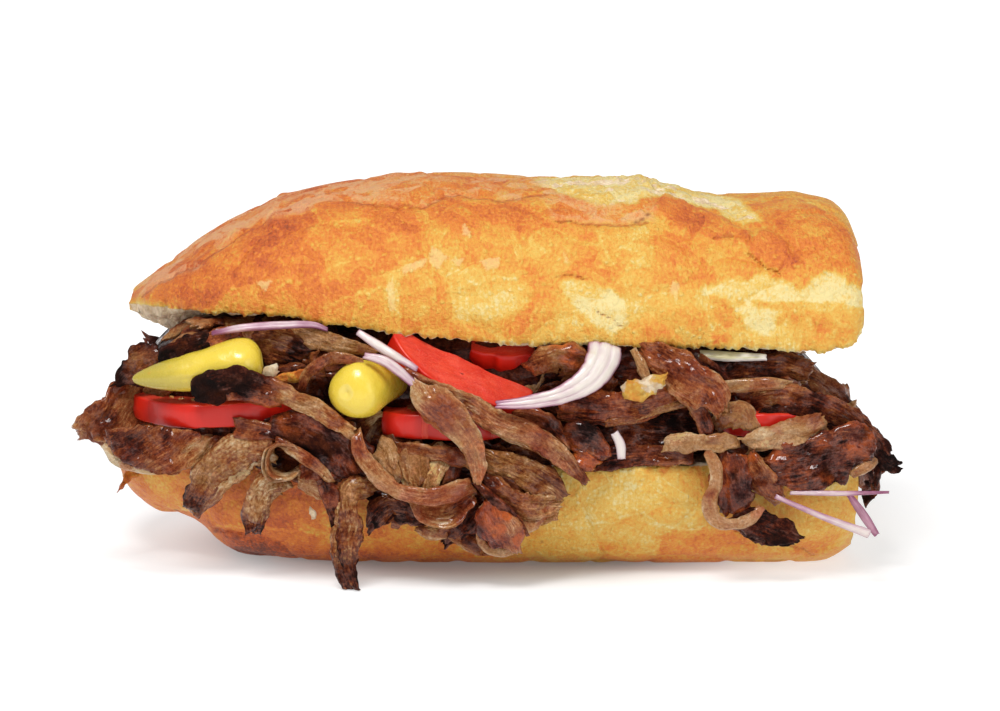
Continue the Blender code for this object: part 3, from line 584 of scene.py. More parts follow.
def sliceShell(stations, seed, **look):
    # closed, ragged slice along its stations: x, y, z, half width, roll, tone
    opt = {**meatSlice, **look}
    track = curveThrough(stations, 10)
    path, half = track[:, :3], track[:, 3] * opt["broad"]
    length = np.concatenate([[0], np.cumsum(np.linalg.norm(np.diff(path, axis=0), axis=1))])
    along = np.gradient(path, axis=0)
    along /= np.linalg.norm(along, axis=1)[:, None]
    facing = np.array([0.0, -1.0, 0.0]) + along * along[:, 1:2]
    facing /= np.linalg.norm(facing, axis=1)[:, None]
    roll = np.radians(track[:, 4:5] + opt["twist"] * speckle(length / 14, 3.3, seed, 2)[:, None])
    facing = facing * np.cos(roll) - np.cross(along, facing) * np.sin(roll)
    across = np.cross(facing, along)
    total, widest, fringe = length[-1], half.max(), opt["fringe"]
    slim = min(1, widest / 6)
    step = opt["spacing"] * fine
    u = np.linspace(0, 1, max(10, int((total + fringe) / step)))[:, None]
    v = np.linspace(-1, 1, max(7, int(2.2 * widest / step)))[None]
    slant = np.random.default_rng(seed).uniform(-0.7, 0.7, 2) * widest * opt["slant"]
    near = slant[0] * v - fringe * (0.5 + speckle(v * widest / 2.2, 0.5, seed + 1, 4) * 1.2)
    far = total + slant[1] * v + fringe * (0.5 + speckle(v * widest / 2.2, 9.5, seed + 2, 4) * 1.2)
    s = near * (1 - u) + far * u
    inside = np.clip(s, 0, total)
    pick = lambda values: np.stack([np.interp(inside, length, values[:, k]) for k in range(values.shape[1])], -1)
    centre = pick(path) + pick(along) * (s - inside)[..., None]
    side, out = pick(across), pick(facing)
    wide, tone = np.interp(inside, length, half), np.interp(inside, length, track[:, 5])
    ragged = [1 + opt["ragged"] * (speckle(s / 5.5, k, seed + 3 + k, 2) * 1.4 + speckle(s / 1.4, k, seed + 5 + k, 2) * 0.55)
              for k in (0, 1)]
    w = v * wide * (ragged[0] * (1 - v) + ragged[1] * (1 + v)) / 2
    grain = math.radians(opt["grain"])
    p, q = s * math.cos(grain) + w * math.sin(grain), w * math.cos(grain) - s * math.sin(grain)
    lift = opt["wave"] * speckle(s / opt["waveSize"], w / opt["waveSize"] * 1.6, seed + 7, 2) + opt["lip"] * np.clip(v - 0.3, 0, 1) ** 2
    lift = lift + opt["fold"] * (0.5 - np.abs(speckle(p / 11, q / opt["foldWidth"], seed + 14, 2)) * 2) + opt["crumple"] * slim * speckle(s / 2.4, w / 2.0, seed + 15, 3)
    lift = lift + opt["hem"] * v * v * (speckle(s / 6, 4, seed + 16, 2) * (v < 0) + speckle(s / 6, 5, seed + 17, 2) * (v > 0))
    layer = (v + 1) / 2 * opt["layers"]
    groove = np.exp(-np.abs(layer - np.round(layer)) * 2 * wide / opt["layers"] / 0.35) * (opt["layers"] > 1)
    lift = lift - 0.4 * groove
    if opt["curl"]:
        bend = widest / math.radians(opt["curl"])
        lift = lift - abs(bend) * (1 - np.cos(w / bend)) * np.sign(bend)
        w = bend * np.sin(w / bend)
    gap = np.minimum(s - near, far - s)
    taper = np.sqrt(soft(gap, -0.2, 1.8))
    thick = opt["thickness"] * (0.3 + 0.4 * slim) * np.sqrt(np.clip(1 - np.abs(v) ** 5, 0, 1)) * taper * (1 + 0.3 * speckle(s / 3, w / 3, seed + 8, 2)) + 0.14
    skin = (1 - np.abs(v) ** 6) * taper
    ridges = opt["fibre"] * (0.5 + 0.5 * slim) * (0.6 - 1.6 * np.abs(speckle(p / 9, q / opt["fibreWidth"], seed + 9, 2))) + opt["knobs"] * np.abs(speckle(p / 2.4, q / 2.4, seed + 10, 3))
    front = centre + side * w[..., None] + out * (lift + thick / 2 + ridges * skin)[..., None]
    back = centre + side * w[..., None] + out * (lift - thick / 2 + ridges * skin * 0.5)[..., None]
    edge = np.minimum((1 - np.abs(v)) * wide, gap)
    tone = tone + 0.15 * speckle(p / 7, q / 3, seed + 11, 3) + opt["rim"] * np.exp(-edge / 0.8) + 0.28 * groove
    tone = tone - opt["char"] * soft(speckle(s / 6, w / 6, seed + 12, 3), 0.05, 0.5) * 2 + opt["shade"]
    glaze = opt["glaze"] * soft(speckle(s / 4.5, w / 4.5, seed + 13, 3), -0.45, 0.35)
    count, wideCount = s.shape
    sheet = rows(count, wideCount)
    size = count * wideCount
    ids = np.arange(size).reshape(count, wideCount)

    def stitch(ring):
        return np.stack([ring[:-1], ring[1:], ring[1:] + size, ring[:-1] + size], -1)

    seams = [stitch(ring) for ring in (ids[::-1, 0], ids[:, -1], ids[0], ids[-1, ::-1])]
    faces = np.vstack([sheet, sheet[:, ::-1] + size, *seams])
    uv = np.stack([p, q], -1).reshape(-1, 2) / 10
    return (np.vstack([front.reshape(-1, 3), back.reshape(-1, 3)]), faces, np.vstack([uv, uv + 0.37]),
            {"tone": np.tile(tone.ravel(), 2), "glaze": np.tile(glaze.ravel(), 2), "sponge": opt["sponge"], "wet": opt["wet"]})


meatColours = {
    "stops": [(0.0, rgb(20, 8, 6)), (0.14, rgb(48, 17, 9)), (0.3, rgb(92, 36, 16)), (0.46, rgb(134, 66, 32)),
              (0.62, rgb(170, 102, 56)), (0.78, rgb(198, 146, 92)), (0.92, rgb(218, 180, 132)), (1.0, rgb(234, 210, 174))],
    "glaze": rgb(206, 96, 36), "burntGlaze": rgb(132, 40, 14),
}


def meatLook(graph):
    place = graph.node("ShaderNodeTexCoord", output="Object")
    uv = graph.node("ShaderNodeUVMap", {"uv_map": "along"})
    tone, glaze, sponge, soaked, shade = (graph.layer(name) for name in ("tone", "glaze", "sponge", "wet", "shade"))
    comb, hue = graph.layer("comb"), graph.layer("hue")
    fibres = graph.noise(graph.scaled(uv, (0.2, 1.0, 1.0)), 0.055, 4, 0.7, 0.6)
    bands = graph.noise(graph.scaled(uv, (0.14, 1.0, 1.0)), 0.2, 3, 0.6, 1.0)
    blotch = graph.noise(place, 0.004, 4, 0.65)
    drift = graph.noise(place, 0.012, 2)
    specks = graph.noise(place, 0.0009, 3, 0.75)
    bubbles = graph.cells(place, 0.0011, "F1", "Distance")
    crease = graph.noise(graph.scaled(uv, (0.5, 1.0, 1.0)), 0.3, 3, 0.55, 1.5)
    combed = graph.noise(place, 0.007, 2).step(0.42, 0.58) * 0.6 + comb + 0.15
    combed = combed.most(0.05)
    tone = (tone + shade + combed * ((fibres - 0.5) * 1.0 + (bands - 0.5) * 0.65) + (blotch - 0.5) * 0.4
            + (drift - 0.5) * 0.7 + (specks - 0.5) * 0.6
            + sponge * (0.3 - bubbles * 0.6) * (blotch * 2))
    colour = graph.node("ShaderNodeValToRGB", {"stops": meatColours["stops"]}, {0: tone})
    colour = graph.mix((drift.step(0.5, 0.66) * 0.4 - hue * 0.5).most(0).least(0.7), colour, rgb(122, 112, 76), "OVERLAY")
    colour = graph.mix((drift.step(0.5, 0.36) * 0.4 + hue * 0.4).most(0).least(0.7), colour, rgb(156, 60, 48), "OVERLAY")
    red = (glaze * (drift.step(0.38, 0.6) + 0.25) * (blotch + 0.2)).least(0.85)
    colour = graph.mix(red, colour, graph.mix((specks * 0.4 + blotch * 0.6 + glaze * 0.05).step(0.42, 0.62), meatColours["burntGlaze"], meatColours["glaze"]))
    wet = (blotch.step(0.42, 0.54) * 0.8 + glaze * 0.6 + soaked) * tone.step(0.0, 0.35)
    height = fibres * 0.8 + specks * 0.9 + blotch * 0.8 + crease * 1.6 - bubbles * sponge
    return {"Base Color": colour, "Roughness": (0.85 - wet * 0.5).most(0.3), "Coat Weight": wet.least(1),
            "Bump": (height, 1.4)}


meatMaterial = newMaterial("donerMeat", meatLook, Specular_IOR_Level=0.12, Coat_Roughness=0.12, Coat_IOR=1.38,
                           Subsurface_Weight=0.04, Subsurface_Radius=(1.0, 0.4, 0.2), Subsurface_Scale=0.0015)

heap = {
    "roundness": 2.5,
    # place, half width, lowest and highest height before it meets the bread
    "sections": [(-106, 13, 41, 51), (-102, 28, 37, 59), (-94, 36, 33, 67), (-78, 41, 32, 80), (-55, 44, 32, 82),
                 (-25, 45, 32, 82), (10, 45, 32, 82), (45, 45, 32, 82), (78, 43, 31, 76), (94, 38, 30, 60),
                 (103, 28, 33, 50), (107, 16, 36, 43)],
    "scraps": 9, "scrapSpacing": 1.05, "apart": 6.5,
    # the core is dark brown: the meat's colour darkened into painted shade for the deep gaps between slices
    "shadedCoreTone": 0.18,
}


def heapRings(grow):
    # rings of points round the heap, one for each place along it
    track = curveThrough(heap["sections"], 8)
    angle = np.linspace(0, 2 * np.pi, 121)[:-1]
    across, up = superellipse(angle, heap["roundness"])
    x, half, low, high = (track[:, k:k + 1] for k in range(4))
    lump = speckle(x / 13, angle[None] * 3, 31, 2)
    y = (half + grow) * across * (1 + 0.05 * lump)
    z = (low + high) / 2 + (high - low) / 2 * up * (1 + 0.08 * lump)
    upper = curveThrough(bread["upper"], 8)
    ceiling = np.interp(x, upper[:, 0], upper[:, 2]) - bread["leansBack"] * (y + 50) - 1.5
    return np.stack([np.broadcast_to(x, y.shape), y, np.clip(z, 35.0, ceiling)], -1)


def heapCore():
    rings = heapRings(0)
    count, around = rings.shape[:2]
    faces = rows(count, around, closed=True)[:, ::-1].tolist()
    faces += [list(range(around)), [(count - 1) * around + k for k in range(around)][::-1]]
    points = rings.reshape(-1, 3)
    made = meshFrom("meatCore", points, faces, points[:, [0, 2]] / 10, {"tone": heap["shadedCoreTone"], "glaze": 0.1})
    return finished(made, "meat_heap", meatMaterial)


def scrapShapes():
    # flat scraps that face up, for the scatter
    made = []
    for k in range(heap["scraps"]):
        chance = np.random.default_rng(100 + k)
        long, wide = chance.uniform(11, 17), chance.uniform(3.5, 6.5)
        stations = [(long * t, chance.uniform(-1.8, 1.8), chance.uniform(-2.5, 2.5), wide * (1 - 0.55 * t * t), 0,
                     chance.uniform(0.34, 0.62)) for t in (-1, -0.5, 0, 0.5, 1)]
        points, faces, uv, layers = sliceShell(stations, 200 + 20 * k, spacing=heap["scrapSpacing"], curl=chance.uniform(-40, 60),
                                               wave=1.4, ragged=0.45, fringe=3.0, thickness=2.2, glaze=0.35, char=0.2)
        made.append(meshFrom(f"scrap{k}", points[:, [0, 2, 1]] * (1, 1, -1), faces, uv, layers))
    return made


def scrapTree(scraps):
    # spreads the scraps over a surface, roughly along the loaf
    graph, wires = newTree("meatScraps", {
        "Apart": ("Float", heap["apart"] * mm), "Density": ("Float", 30000.0), "Seed": ("Int", 4),
        "Turn": ("Float", 0.75), "Tilt": ("Float", 0.5), "Material": ("Material", None)})
    points = graph.tree.nodes.new("GeometryNodeDistributePointsOnFaces")
    points.distribute_method = "POISSON"
    for name, wire in (("Mesh", "Geometry"), ("Distance Min", "Apart"), ("Density Max", "Density"), ("Seed", "Seed")):
        graph.tree.links.new(wires[wire].socket, points.inputs[name])
    spots, normal = Wire(graph, points.outputs["Points"]), Wire(graph, points.outputs["Normal"])
    upright = graph.node("FunctionNodeAlignRotationToVector", {"axis": "Z"}, {"Vector": normal})
    ahead = graph.node("FunctionNodeAlignRotationToVector", {"axis": "X", "pivot_axis": "Z"}, {"Rotation": upright, "Vector": (1, 0, 0.15)})
    reach = graph.node("ShaderNodeCombineXYZ", None, {0: wires["Tilt"], 1: wires["Tilt"], 2: wires["Turn"]})
    less = graph.scaled(reach, (-1, -1, -1))
    sway = graph.node("FunctionNodeRandomValue", {"data_type": "FLOAT_VECTOR"}, {0: less, 1: reach, "Seed": wires["Seed"]})
    turned = graph.node("FunctionNodeRotateRotation", {"rotation_space": "LOCAL"}, {"Rotation": ahead, "Rotate By": sway})
    joint = graph.tree.nodes.new("GeometryNodeJoinGeometry")
    for scrap in scraps:
        source = graph.node("GeometryNodeObjectInfo", None, {"Object": scrap, "As Instance": True}, output="Geometry")
        graph.tree.links.new(source.socket, joint.inputs[0])
    which = graph.node("FunctionNodeRandomValue", {"data_type": "INT"}, {4: 0, 5: len(scraps) - 1, "Seed": wires["Seed"]}, output=2)
    size = graph.node("FunctionNodeRandomValue", {"data_type": "FLOAT"}, {2: 0.75, 3: 1.2, "Seed": wires["Seed"]}, output=1)
    placed = graph.node("GeometryNodeInstanceOnPoints", None, {
        "Points": spots, "Instance": Wire(graph, joint.outputs[0]), "Pick Instance": True, "Instance Index": which,
        "Rotation": turned, "Scale": size})
    shade = graph.node("FunctionNodeRandomValue", {"data_type": "FLOAT"}, {2: -0.22, 3: 0.16, "Seed": wires["Seed"]}, output=1)
    marked = graph.node("GeometryNodeStoreNamedAttribute", {"data_type": "FLOAT", "domain": "INSTANCE"},
                        {"Geometry": placed, "Name": "shade", "Value": shade})
    endTree(graph, marked, wires["Material"])
    return graph.tree


def scatterScraps():
    scraps = scrapShapes()
    tree = scrapTree(scraps)
    upper = curveThrough(bread["upper"], 8)
    for name, grow, side, seed in [("scrapsFront", -1.5, -1, 4), ("scrapsBack", 2.5, 1, 5), ("scrapsEnd", -4, 0, 6)]:
        rings = heapRings(grow)
        count, around = rings.shape[:2]
        x, y, z = (rings[..., k] for k in range(3))
        keep = (np.abs(x) < 100) & (y * side > 18) if side else (x > 93) & (z < 45) & (np.abs(y) < 34)
        faces = rows(count, around, closed=True)[:, ::-1]
        keep &= ~((x > -42) & (x < 22) & (z > 55) & (y < 0))  # the tomato wedges lie here
        limits = ([-106, -96, -80, 62, 78, 90], [36, 42, 90, 90, 44, 36]) if side > 0 else ([-106, -92, -80, 74, 84, 94], [42, 46, 90, 90, 46, 38])
        keep &= z < np.interp(x, *limits)
        flat = keep.ravel() & (z.ravel() > 36.5)
        faces = faces[flat[faces].all(1)]
        made = meshFrom(name, rings.reshape(-1, 3), faces)
        applied(made, tree, {"Seed": seed, "Material": meatMaterial})
        spots = np.empty(len(made.data.vertices) * 3)
        made.data.vertices.foreach_get("co", spots)
        spots = spots.reshape(-1, 3)
        ceiling = np.interp(spots[:, 0] / mm, upper[:, 0], upper[:, 2]) * mm - bread["leansBack"] * (spots[:, 1] + 0.05) - 0.0012
        spots[:, 2] = np.where(spots[:, 0] > -0.104, np.minimum(spots[:, 2], ceiling), spots[:, 2])
        made.data.vertices.foreach_set("co", spots.ravel())
        finished(made, "meat_heap", meatMaterial)
        print(name, len(made.data.polygons), "faces")
    for scrap in scraps:
        bpy.data.objects.remove(scrap)


# the slices that show, each with the shape it stands for, what sets it apart, and its stations:
# x, y, z, half width, roll in degrees, and tone from charred to fat
slices = {
    "backPocket": ("meat_slice_pocket", {"fold": 1.6, "rim": 0.1}, [
        (-34, -52, 41, 4, 0, 0.3), (-22, -53.5, 37, 6.5, 0, 0.32), (-8, -54, 34, 8, 0, 0.3), (6, -54.5, 32, 8, 0, 0.35), (18, -54, 31, 5, 0, 0.4)]),
    "backLow": ("meat_slice_low", {"fold": 1.6, "ragged": 0.3}, [
        (-35, -53, 30, 4, 0, 0.25), (-26, -54.5, 28, 6, 0, 0.28), (-14, -55, 25, 7, 0, 0.3), (-2, -55.5, 22, 8, 0, 0.32),
        (10, -55.5, 23, 7, 0, 0.4), (18, -55, 26, 4, 0, 0.4)]),
    "backLeft": ("meat_slice_dark", {"fold": 1.5}, [
        (-84, -50, 45, 5, 0, 0.3), (-72, -52, 44, 6, 0, 0.28), (-60, -53, 41, 7, 0, 0.25), (-48, -54, 38, 8, 0, 0.25), (-40, -54, 36, 6, 0, 0.3)]),
    "backUpperLeft": ("meat_slice_middle_char", {"fold": 1.5, "glaze": 0.3}, [
        (-72, -45, 64, 6, 0, 0.28), (-60, -46, 63, 8, 0, 0.3), (-47, -47, 61, 8, 0, 0.28), (-36, -47, 61, 6, 0, 0.35)]),
    "backCentre": ("meat_slice_centre", {"fold": 1.5, "glaze": 0.3}, [
        (17, -46, 50, 5, 0, 0.22), (26, -48.5, 50, 9, 0, 0.2), (38, -49.5, 48, 9, 0, 0.2), (54, -50, 47, 8, 0, 0.22), (66, -49, 48, 5, 0, 0.25)]),
    "edgeRow": ("meat_slice_centre", {"glaze": 0.3, "fold": 1.0, "ragged": 0.2}, [
        (19, -51, 37.5, 2.5, 0, 0.25), (32, -52, 37, 3, 0, 0.28), (46, -52, 38, 3, 0, 0.35), (60, -52.5, 38.5, 3, 0, 0.5)]),
    "backRight": ("meat_slice_red", {"fold": 1.5, "glaze": 0.4}, [
        (68, -50, 44, 7, 0, 0.25), (82, -50.5, 44, 9, 0, 0.22), (96, -49, 43, 9, 0, 0.22), (107, -45, 41, 6, 0, 0.2)]),
    "upperRight": ("meat_slice_dome", {"fold": 1.3}, [
        (30, -46, 63, 5, 0, 0.3), (46, -47, 63, 6, 0, 0.35), (62, -47, 62, 6, 0, 0.32), (80, -46, 61, 5, 0, 0.35), (92, -43, 60, 4, 0, 0.4)]),
    "dome": ("meat_slice_dome", {"hue": -0.3, "fold": 1.0, "foldWidth": 3.2, "fringe": 1.4, "ragged": 0.08, "twist": 4, "hem": 0.4, "slant": 0.2, "glaze": 0.25, "rim": 0.15}, [
        (72, -33, 60, 10, 64, 0.45), (84, -34, 57, 12.5, 62, 0.5), (94, -34.5, 51.5, 13, 60, 0.5), (102, -34, 44.5, 12.5, 56, 0.42),
        (109.5, -33.5, 36, 10.5, 52, 0.32), (115, -33, 30, 7, 48, 0.2)]),
    "domeUnder": ("meat_slice_dome", {"fold": 1.3, "fringe": 2, "twist": 6, "char": 0.15}, [
        (76, -37, 53.5, 9, 60, 0.35), (88, -37, 51, 11, 58, 0.35), (97, -37, 46, 10.5, 55, 0.3), (104, -36.5, 39.5, 9, 50, 0.28),
        (109, -36, 33, 6, 48, 0.2)]),
    "domeRim": ("meat_slice_dome", {"comb": -0.5, "wet": 0.5, "thickness": 1.3, "fold": 0.2, "ragged": 0.1, "char": 0, "glaze": 0, "rim": 0, "twist": 0}, [
        (83, -24, 61.5, 3, 50, 0.9), (89.5, -24, 59.5, 4, 50, 0.9), (94.5, -24, 56, 4, 50, 0.92), (98.5, -24, 52, 3.5, 48, 0.92), (102, -24, 47.5, 2, 45, 0.85)]),
    "rightEndOuter": ("meat_slice_right_end", {"ragged": 0.3, "twist": 8}, [
        (111, -22, 43, 5, -75, 0.35), (115.5, -17, 35, 6.5, -75, 0.3), (116.5, -12, 25, 5, -75, 0.22), (114.5, -10, 16, 2, -75, 0.12)]),
    "rightEndInner": ("meat_slice_right_end", {"ragged": 0.3, "glaze": 0.4, "twist": 8}, [
        (102, 4, 45, 6, -80, 0.5), (108, 7, 39, 7, -80, 0.45), (112, 11, 31, 5, -80, 0.4), (113, 14, 24, 2, -80, 0.3)]),
    "rightEndMiddle": ("meat_slice_right_end", {"ragged": 0.2, "fold": 1.2, "glaze": 0.3}, [
        (98, -9, 48, 8, -70, 0.4), (104, -8, 42.5, 10, -72, 0.45), (108, -7, 36, 9, -76, 0.4), (109.5, -6, 28, 4, -80, 0.3)]),
    "rightEndBack": ("meat_slice_right_end", {"ragged": 0.2, "fold": 1.2, "glaze": 0.5}, [
        (94, 22, 44, 9, -70, 0.45), (101, 22, 39.5, 11, -72, 0.5), (106, 21, 34, 9, -78, 0.42), (108, 20, 28, 5, -80, 0.3)]),
    "leftEndMiddle": ("meat_heap", {"ragged": 0.2, "fold": 1.2, "glaze": 0.2}, [
        (-97, -9, 57, 8, 70, 0.4), (-103, -8, 51, 10, 74, 0.45), (-106.5, -6, 43, 9, 78, 0.42), (-107, -4, 35, 4, 82, 0.3)]),
    "leftEndBack": ("meat_heap", {"ragged": 0.2, "fold": 1.2, "glaze": 0.4}, [
        (-93, 19, 53, 9, 68, 0.42), (-99, 20, 47.5, 11, 70, 0.5), (-102.5, 21, 40.5, 9, 76, 0.45), (-103, 22, 33, 5, 80, 0.3)]),
    "hangBackLeft": ("meat_slice_back_left", {"fold": 1.3}, [
        (-66, 47, 52, 8, 180, 0.45), (-70, 52.5, 45, 9, 180, 0.5), (-73, 55, 36, 8, 180, 0.5), (-78, 53, 26, 4, 180, 0.3)]),
    "hangBackMiddle": ("meat_slice_back_middle", {"fold": 1.4, "curl": 30, "glaze": 0.3}, [
        (-16, 49, 53, 9, 180, 0.5), (-11, 54.5, 45, 12, 180, 0.5), (-7, 57, 36, 10, 180, 0.55), (0, 56, 24, 5, 180, 0.45), (3, 54.5, 18, 2, 180, 0.2)]),
    "hangBackRight": ("meat_slice_back_right", {"fold": 1.3, "grain": 30}, [
        (55, 48, 54, 9, 180, 0.4), (59, 54, 45, 11, 180, 0.45), (62, 56, 36, 9, 180, 0.5), (69, 54.5, 26, 4, 180, 0.35)]),
    "backStrip": ("meat_slice_back_middle", {"glaze": 0.5}, [
        (-58, 50, 62, 4, 180, 0.5), (-40, 53, 56, 5, 180, 0.45), (-22, 54, 50, 5, 180, 0.4), (-6, 56, 47, 3, 180, 0.5)]),
    "backSheet": ("meat_slice_back_right", {"glaze": 0.2, "fold": 1.5}, [
        (22, 50, 60, 6, 180, 0.45), (38, 52, 57, 8, 180, 0.5), (56, 52, 56, 8, 180, 0.45), (76, 50, 55, 5, 180, 0.4)]),
    "leftOuter": ("meat_slice_left_outer", {"grain": 35, "ragged": 0.18, "fold": 0.6, "hue": 0.4, "shade": 0.08}, [
        (-119.4, -39, 43.0, 2.0, 0, 0.55), (-116.5, -41, 44.5, 3.8, 0, 0.5), (-114, -42, 45, 5.0, 0, 0.5), (-109.5, -41, 46, 7.0, 0, 0.5),
        (-104, -37, 48, 8.0, 0, 0.48), (-98, -32, 48, 6, 0, 0.45), (-93, -28, 46, 4, 0, 0.4)]),
    "leftInner": ("meat_slice_left_inner", {"grain": 40, "ragged": 0.18, "fold": 0.7, "glaze": 0.2}, [
        (-109, -50, 43, 2.0, 0, 0.42), (-106, -52, 42, 4.0, 0, 0.4), (-101, -54, 41, 5.3, 0, 0.4), (-95.5, -56, 40.5, 5.8, 0, 0.48),
        (-91, -57, 40, 6.0, 0, 0.58), (-86.5, -56, 40.5, 5.0, 0, 0.62), (-82, -54, 40, 4.0, 0, 0.64), (-76, -52, 41, 3.0, 0, 0.55)]),
    "leftFat": ("meat_slice_left_inner", {"comb": -0.5, "wet": 0.5, "rim": 0, "char": 0, "thickness": 1.6, "fold": 0.2}, [
        (-111, -49, 40.5, 1.1, 0, 0.95), (-107.5, -50, 37, 2.0, 0, 0.95), (-103, -51, 35, 1.7, 0, 0.95), (-98, -52, 34, 1.1, 0, 0.9),
        (-95, -52, 33.5, 0.6, 0, 0.9)]),
    "cornerBack": ("meat_slice_left_outer", {"knobs": 0.6, "rim": -0.3}, [
        (-107.5, -42, 57, 1.7, 0, 0.1), (-105.5, -42, 59.5, 3.4, 0, 0.3), (-101.5, -43, 62.5, 4.6, 0, 0.5), (-98, -43, 64.5, 4.6, 0, 0.55),
        (-94.5, -43, 66, 3.7, 0, 0.5)]),
    "upperChar": ("meat_slice_upper_char", {"knobs": 1.3, "fold": 0.3, "thickness": 4.0, "rim": 0, "glaze": 0.3}, [
        (-94.5, -50, 67, 1.7, 0, 0.05), (-91.5, -51, 68.5, 3.2, 0, 0.06), (-87.5, -51, 69.5, 3.7, 0, 0.08), (-83.5, -51, 71, 3.4, 0, 0.12),
        (-80, -50, 72.5, 2.6, 0, 0.2)]),
    "upperGlaze": ("meat_slice_upper_char", {"glaze": 0.9, "thickness": 3.0}, [
        (-82, -50, 71, 2.0, 0, 0.5), (-76.5, -50, 72.5, 2.3, 0, 0.55), (-71, -49, 74, 1.7, 0, 0.5)]),
    "upperGrey": ("meat_slice_upper_char", {"hue": -0.8, "fold": 1.4, "glaze": 0}, [
        (-67, -48, 70.5, 3.4, 0, 0.45), (-62, -49, 70, 5.2, 0, 0.55), (-57.5, -49, 68.5, 4.9, 0, 0.5), (-52.5, -48, 66.5, 2.9, 0, 0.4)]),
    "upperSheet": ("meat_slice_upper_char", {"hue": -0.6, "rim": 0.05, "char": 0, "glaze": 0, "fold": 0.3, "ragged": 0.12}, [
        (-57, -48, 74, 1.4, 0, 0.7), (-50.5, -49, 72.5, 2.9, 0, 0.75), (-43, -49, 70.5, 2.6, 0, 0.78), (-36.5, -49, 69, 1.7, 0, 0.75),
        (-32, -49, 68, 0.9, 0, 0.7)]),
    "layerA": ("meat_slice_middle_char", {}, [
        (-65.5, -46, 65, 2.3, 0, 0.3), (-57, -47, 64, 2.9, 0, 0.35), (-48, -47, 63.5, 2.6, 0, 0.35), (-41, -46, 64.5, 1.7, 0, 0.3)]),
    "layerB": ("meat_slice_middle_char", {}, [
        (-67, -50, 60, 2.3, 0, 0.3), (-60, -51, 61.5, 2.6, 0, 0.4), (-52.5, -51, 62.5, 2.6, 0, 0.35), (-47, -50, 62.5, 1.7, 0, 0.3)]),
    "pepperArc": ("meat_slice_middle_char", {"thickness": 1.6, "glaze": 0.4, "ragged": 0.1, "fold": 0.1}, [
        (-53.5, -56, 58, 0.9, 0, 0.45), (-52, -57, 62.5, 1.4, 0, 0.5), (-48.5, -58, 66, 1.7, 0, 0.5), (-44.5, -58, 68, 1.7, 0, 0.5),
        (-40, -58, 68, 1.4, 0, 0.55), (-36, -57, 67, 0.9, 0, 0.6)]),
    "charKnob": ("meat_slice_middle_char", {"knobs": 1.0, "fold": 0.4, "thickness": 3.8, "rim": 0.05, "ragged": 0.2}, [
        (-84, -60, 57, 1.7, 0, 0.03), (-81, -61, 59.5, 4.0, 0, 0.03), (-76.5, -62, 61.5, 4.6, 0, 0.03), (-72, -62, 63, 4.6, 0, 0.04),
        (-68, -62, 62, 4.3, 0, 0.08), (-64, -61, 60.5, 3.4, 0, 0.4), (-59.5, -61, 59, 3.2, 0, 0.7), (-53.5, -60, 55.5, 2.9, 0, 0.72),
        (-48.5, -60, 53, 2.6, 0, 0.72), (-44, -60, 50, 2.3, 0, 0.72), (-38.5, -60, 46.5, 2.0, 0, 0.7)]),
    "knobGlaze": ("meat_slice_middle_char", {"glaze": 1.3, "thickness": 3.0}, [
        (-74.5, -60, 57.5, 1.1, 0, 0.4), (-69, -61, 58.5, 2.3, 0, 0.5), (-64, -60, 57, 2.3, 0, 0.45), (-59, -59, 55, 1.1, 0, 0.5)]),
    "glazeUpper": ("meat_slice_dark", {"glaze": 0.9}, [
        (-72.5, -57, 47.5, 2.3, 0, 0.55), (-67, -58, 47, 2.6, 0, 0.55), (-61.5, -58, 46, 2.3, 0, 0.5), (-55, -58, 45, 1.7, 0, 0.4)]),
    "darkInner": ("meat_slice_dark", {"hue": 0.5, "wet": 0.5, "glaze": 0.6, "fold": 1.3, "thickness": 3.4, "ragged": 0.2, "rim": 0}, [
        (-63, -58, 48.5, 2.3, 0, 0.25), (-57, -59, 48, 4.6, 0, 0.2), (-52, -59, 46, 6.9, 0, 0.2), (-47, -59, 43, 8.9, 0, 0.22),
        (-43, -59, 39, 8.9, 0, 0.2), (-39.5, -59, 34, 5.7, 0, 0.15)]),
    "darkRim": ("meat_slice_dark", {"thickness": 3.0, "fold": 0.3, "ragged": 0.15}, [
        (-60.5, -60, 44.5, 1.1, 0, 0.6), (-54.5, -61, 41, 1.7, 0, 0.68), (-49, -61, 37, 1.7, 0, 0.65), (-45, -60, 32, 1.1, 0, 0.6)]),
    "forkLeft": ("meat_strip_left", {"hue": -0.3, "sponge": 0.45, "ragged": 0.16, "rim": -0.18, "char": 0, "crumple": 0.7, "fold": 0.5, "thickness": 3.2}, [
        (-62.5, -57, 41.5, 3.7, 0, 0.7), (-67, -57, 42, 4.6, 0, 0.72), (-71.5, -57, 40.5, 4.9, 0, 0.74), (-75.5, -56, 37.5, 4.9, 0, 0.74),
        (-79.5, -55, 34, 4.6, 0, 0.72), (-82.5, -53, 29, 4.0, 0, 0.62), (-85, -51, 25, 3.4, 0, 0.35), (-86.5, -49, 21.5, 2.0, 0, 0.25)]),
    "curl": ("meat_strip_curled", {"twist": 5, "hem": 0.8, "thickness": 1.5, "fold": 0, "wave": 0.3, "ragged": 0.12, "char": 0}, [
        (-53.5, -58, 40.5, 4.0, 90, 0.75), (-55.5, -58, 43, 4.0, 90, 0.75), (-59.5, -58, 43.5, 4.0, 90, 0.75), (-62.5, -58, 41.5, 4.0, 90, 0.75),
        (-63, -58, 37, 4.0, 90, 0.75), (-61, -58, 34, 4.0, 90, 0.75), (-57, -58, 33.5, 4.0, 90, 0.75), (-54, -58, 35.5, 4.0, 90, 0.75)]),
    "spongyLow": ("meat_strip_curled", {"hue": -0.3, "sponge": 0.6, "ragged": 0.2, "rim": -0.15, "char": 0, "crumple": 0.8, "thickness": 3.0}, [
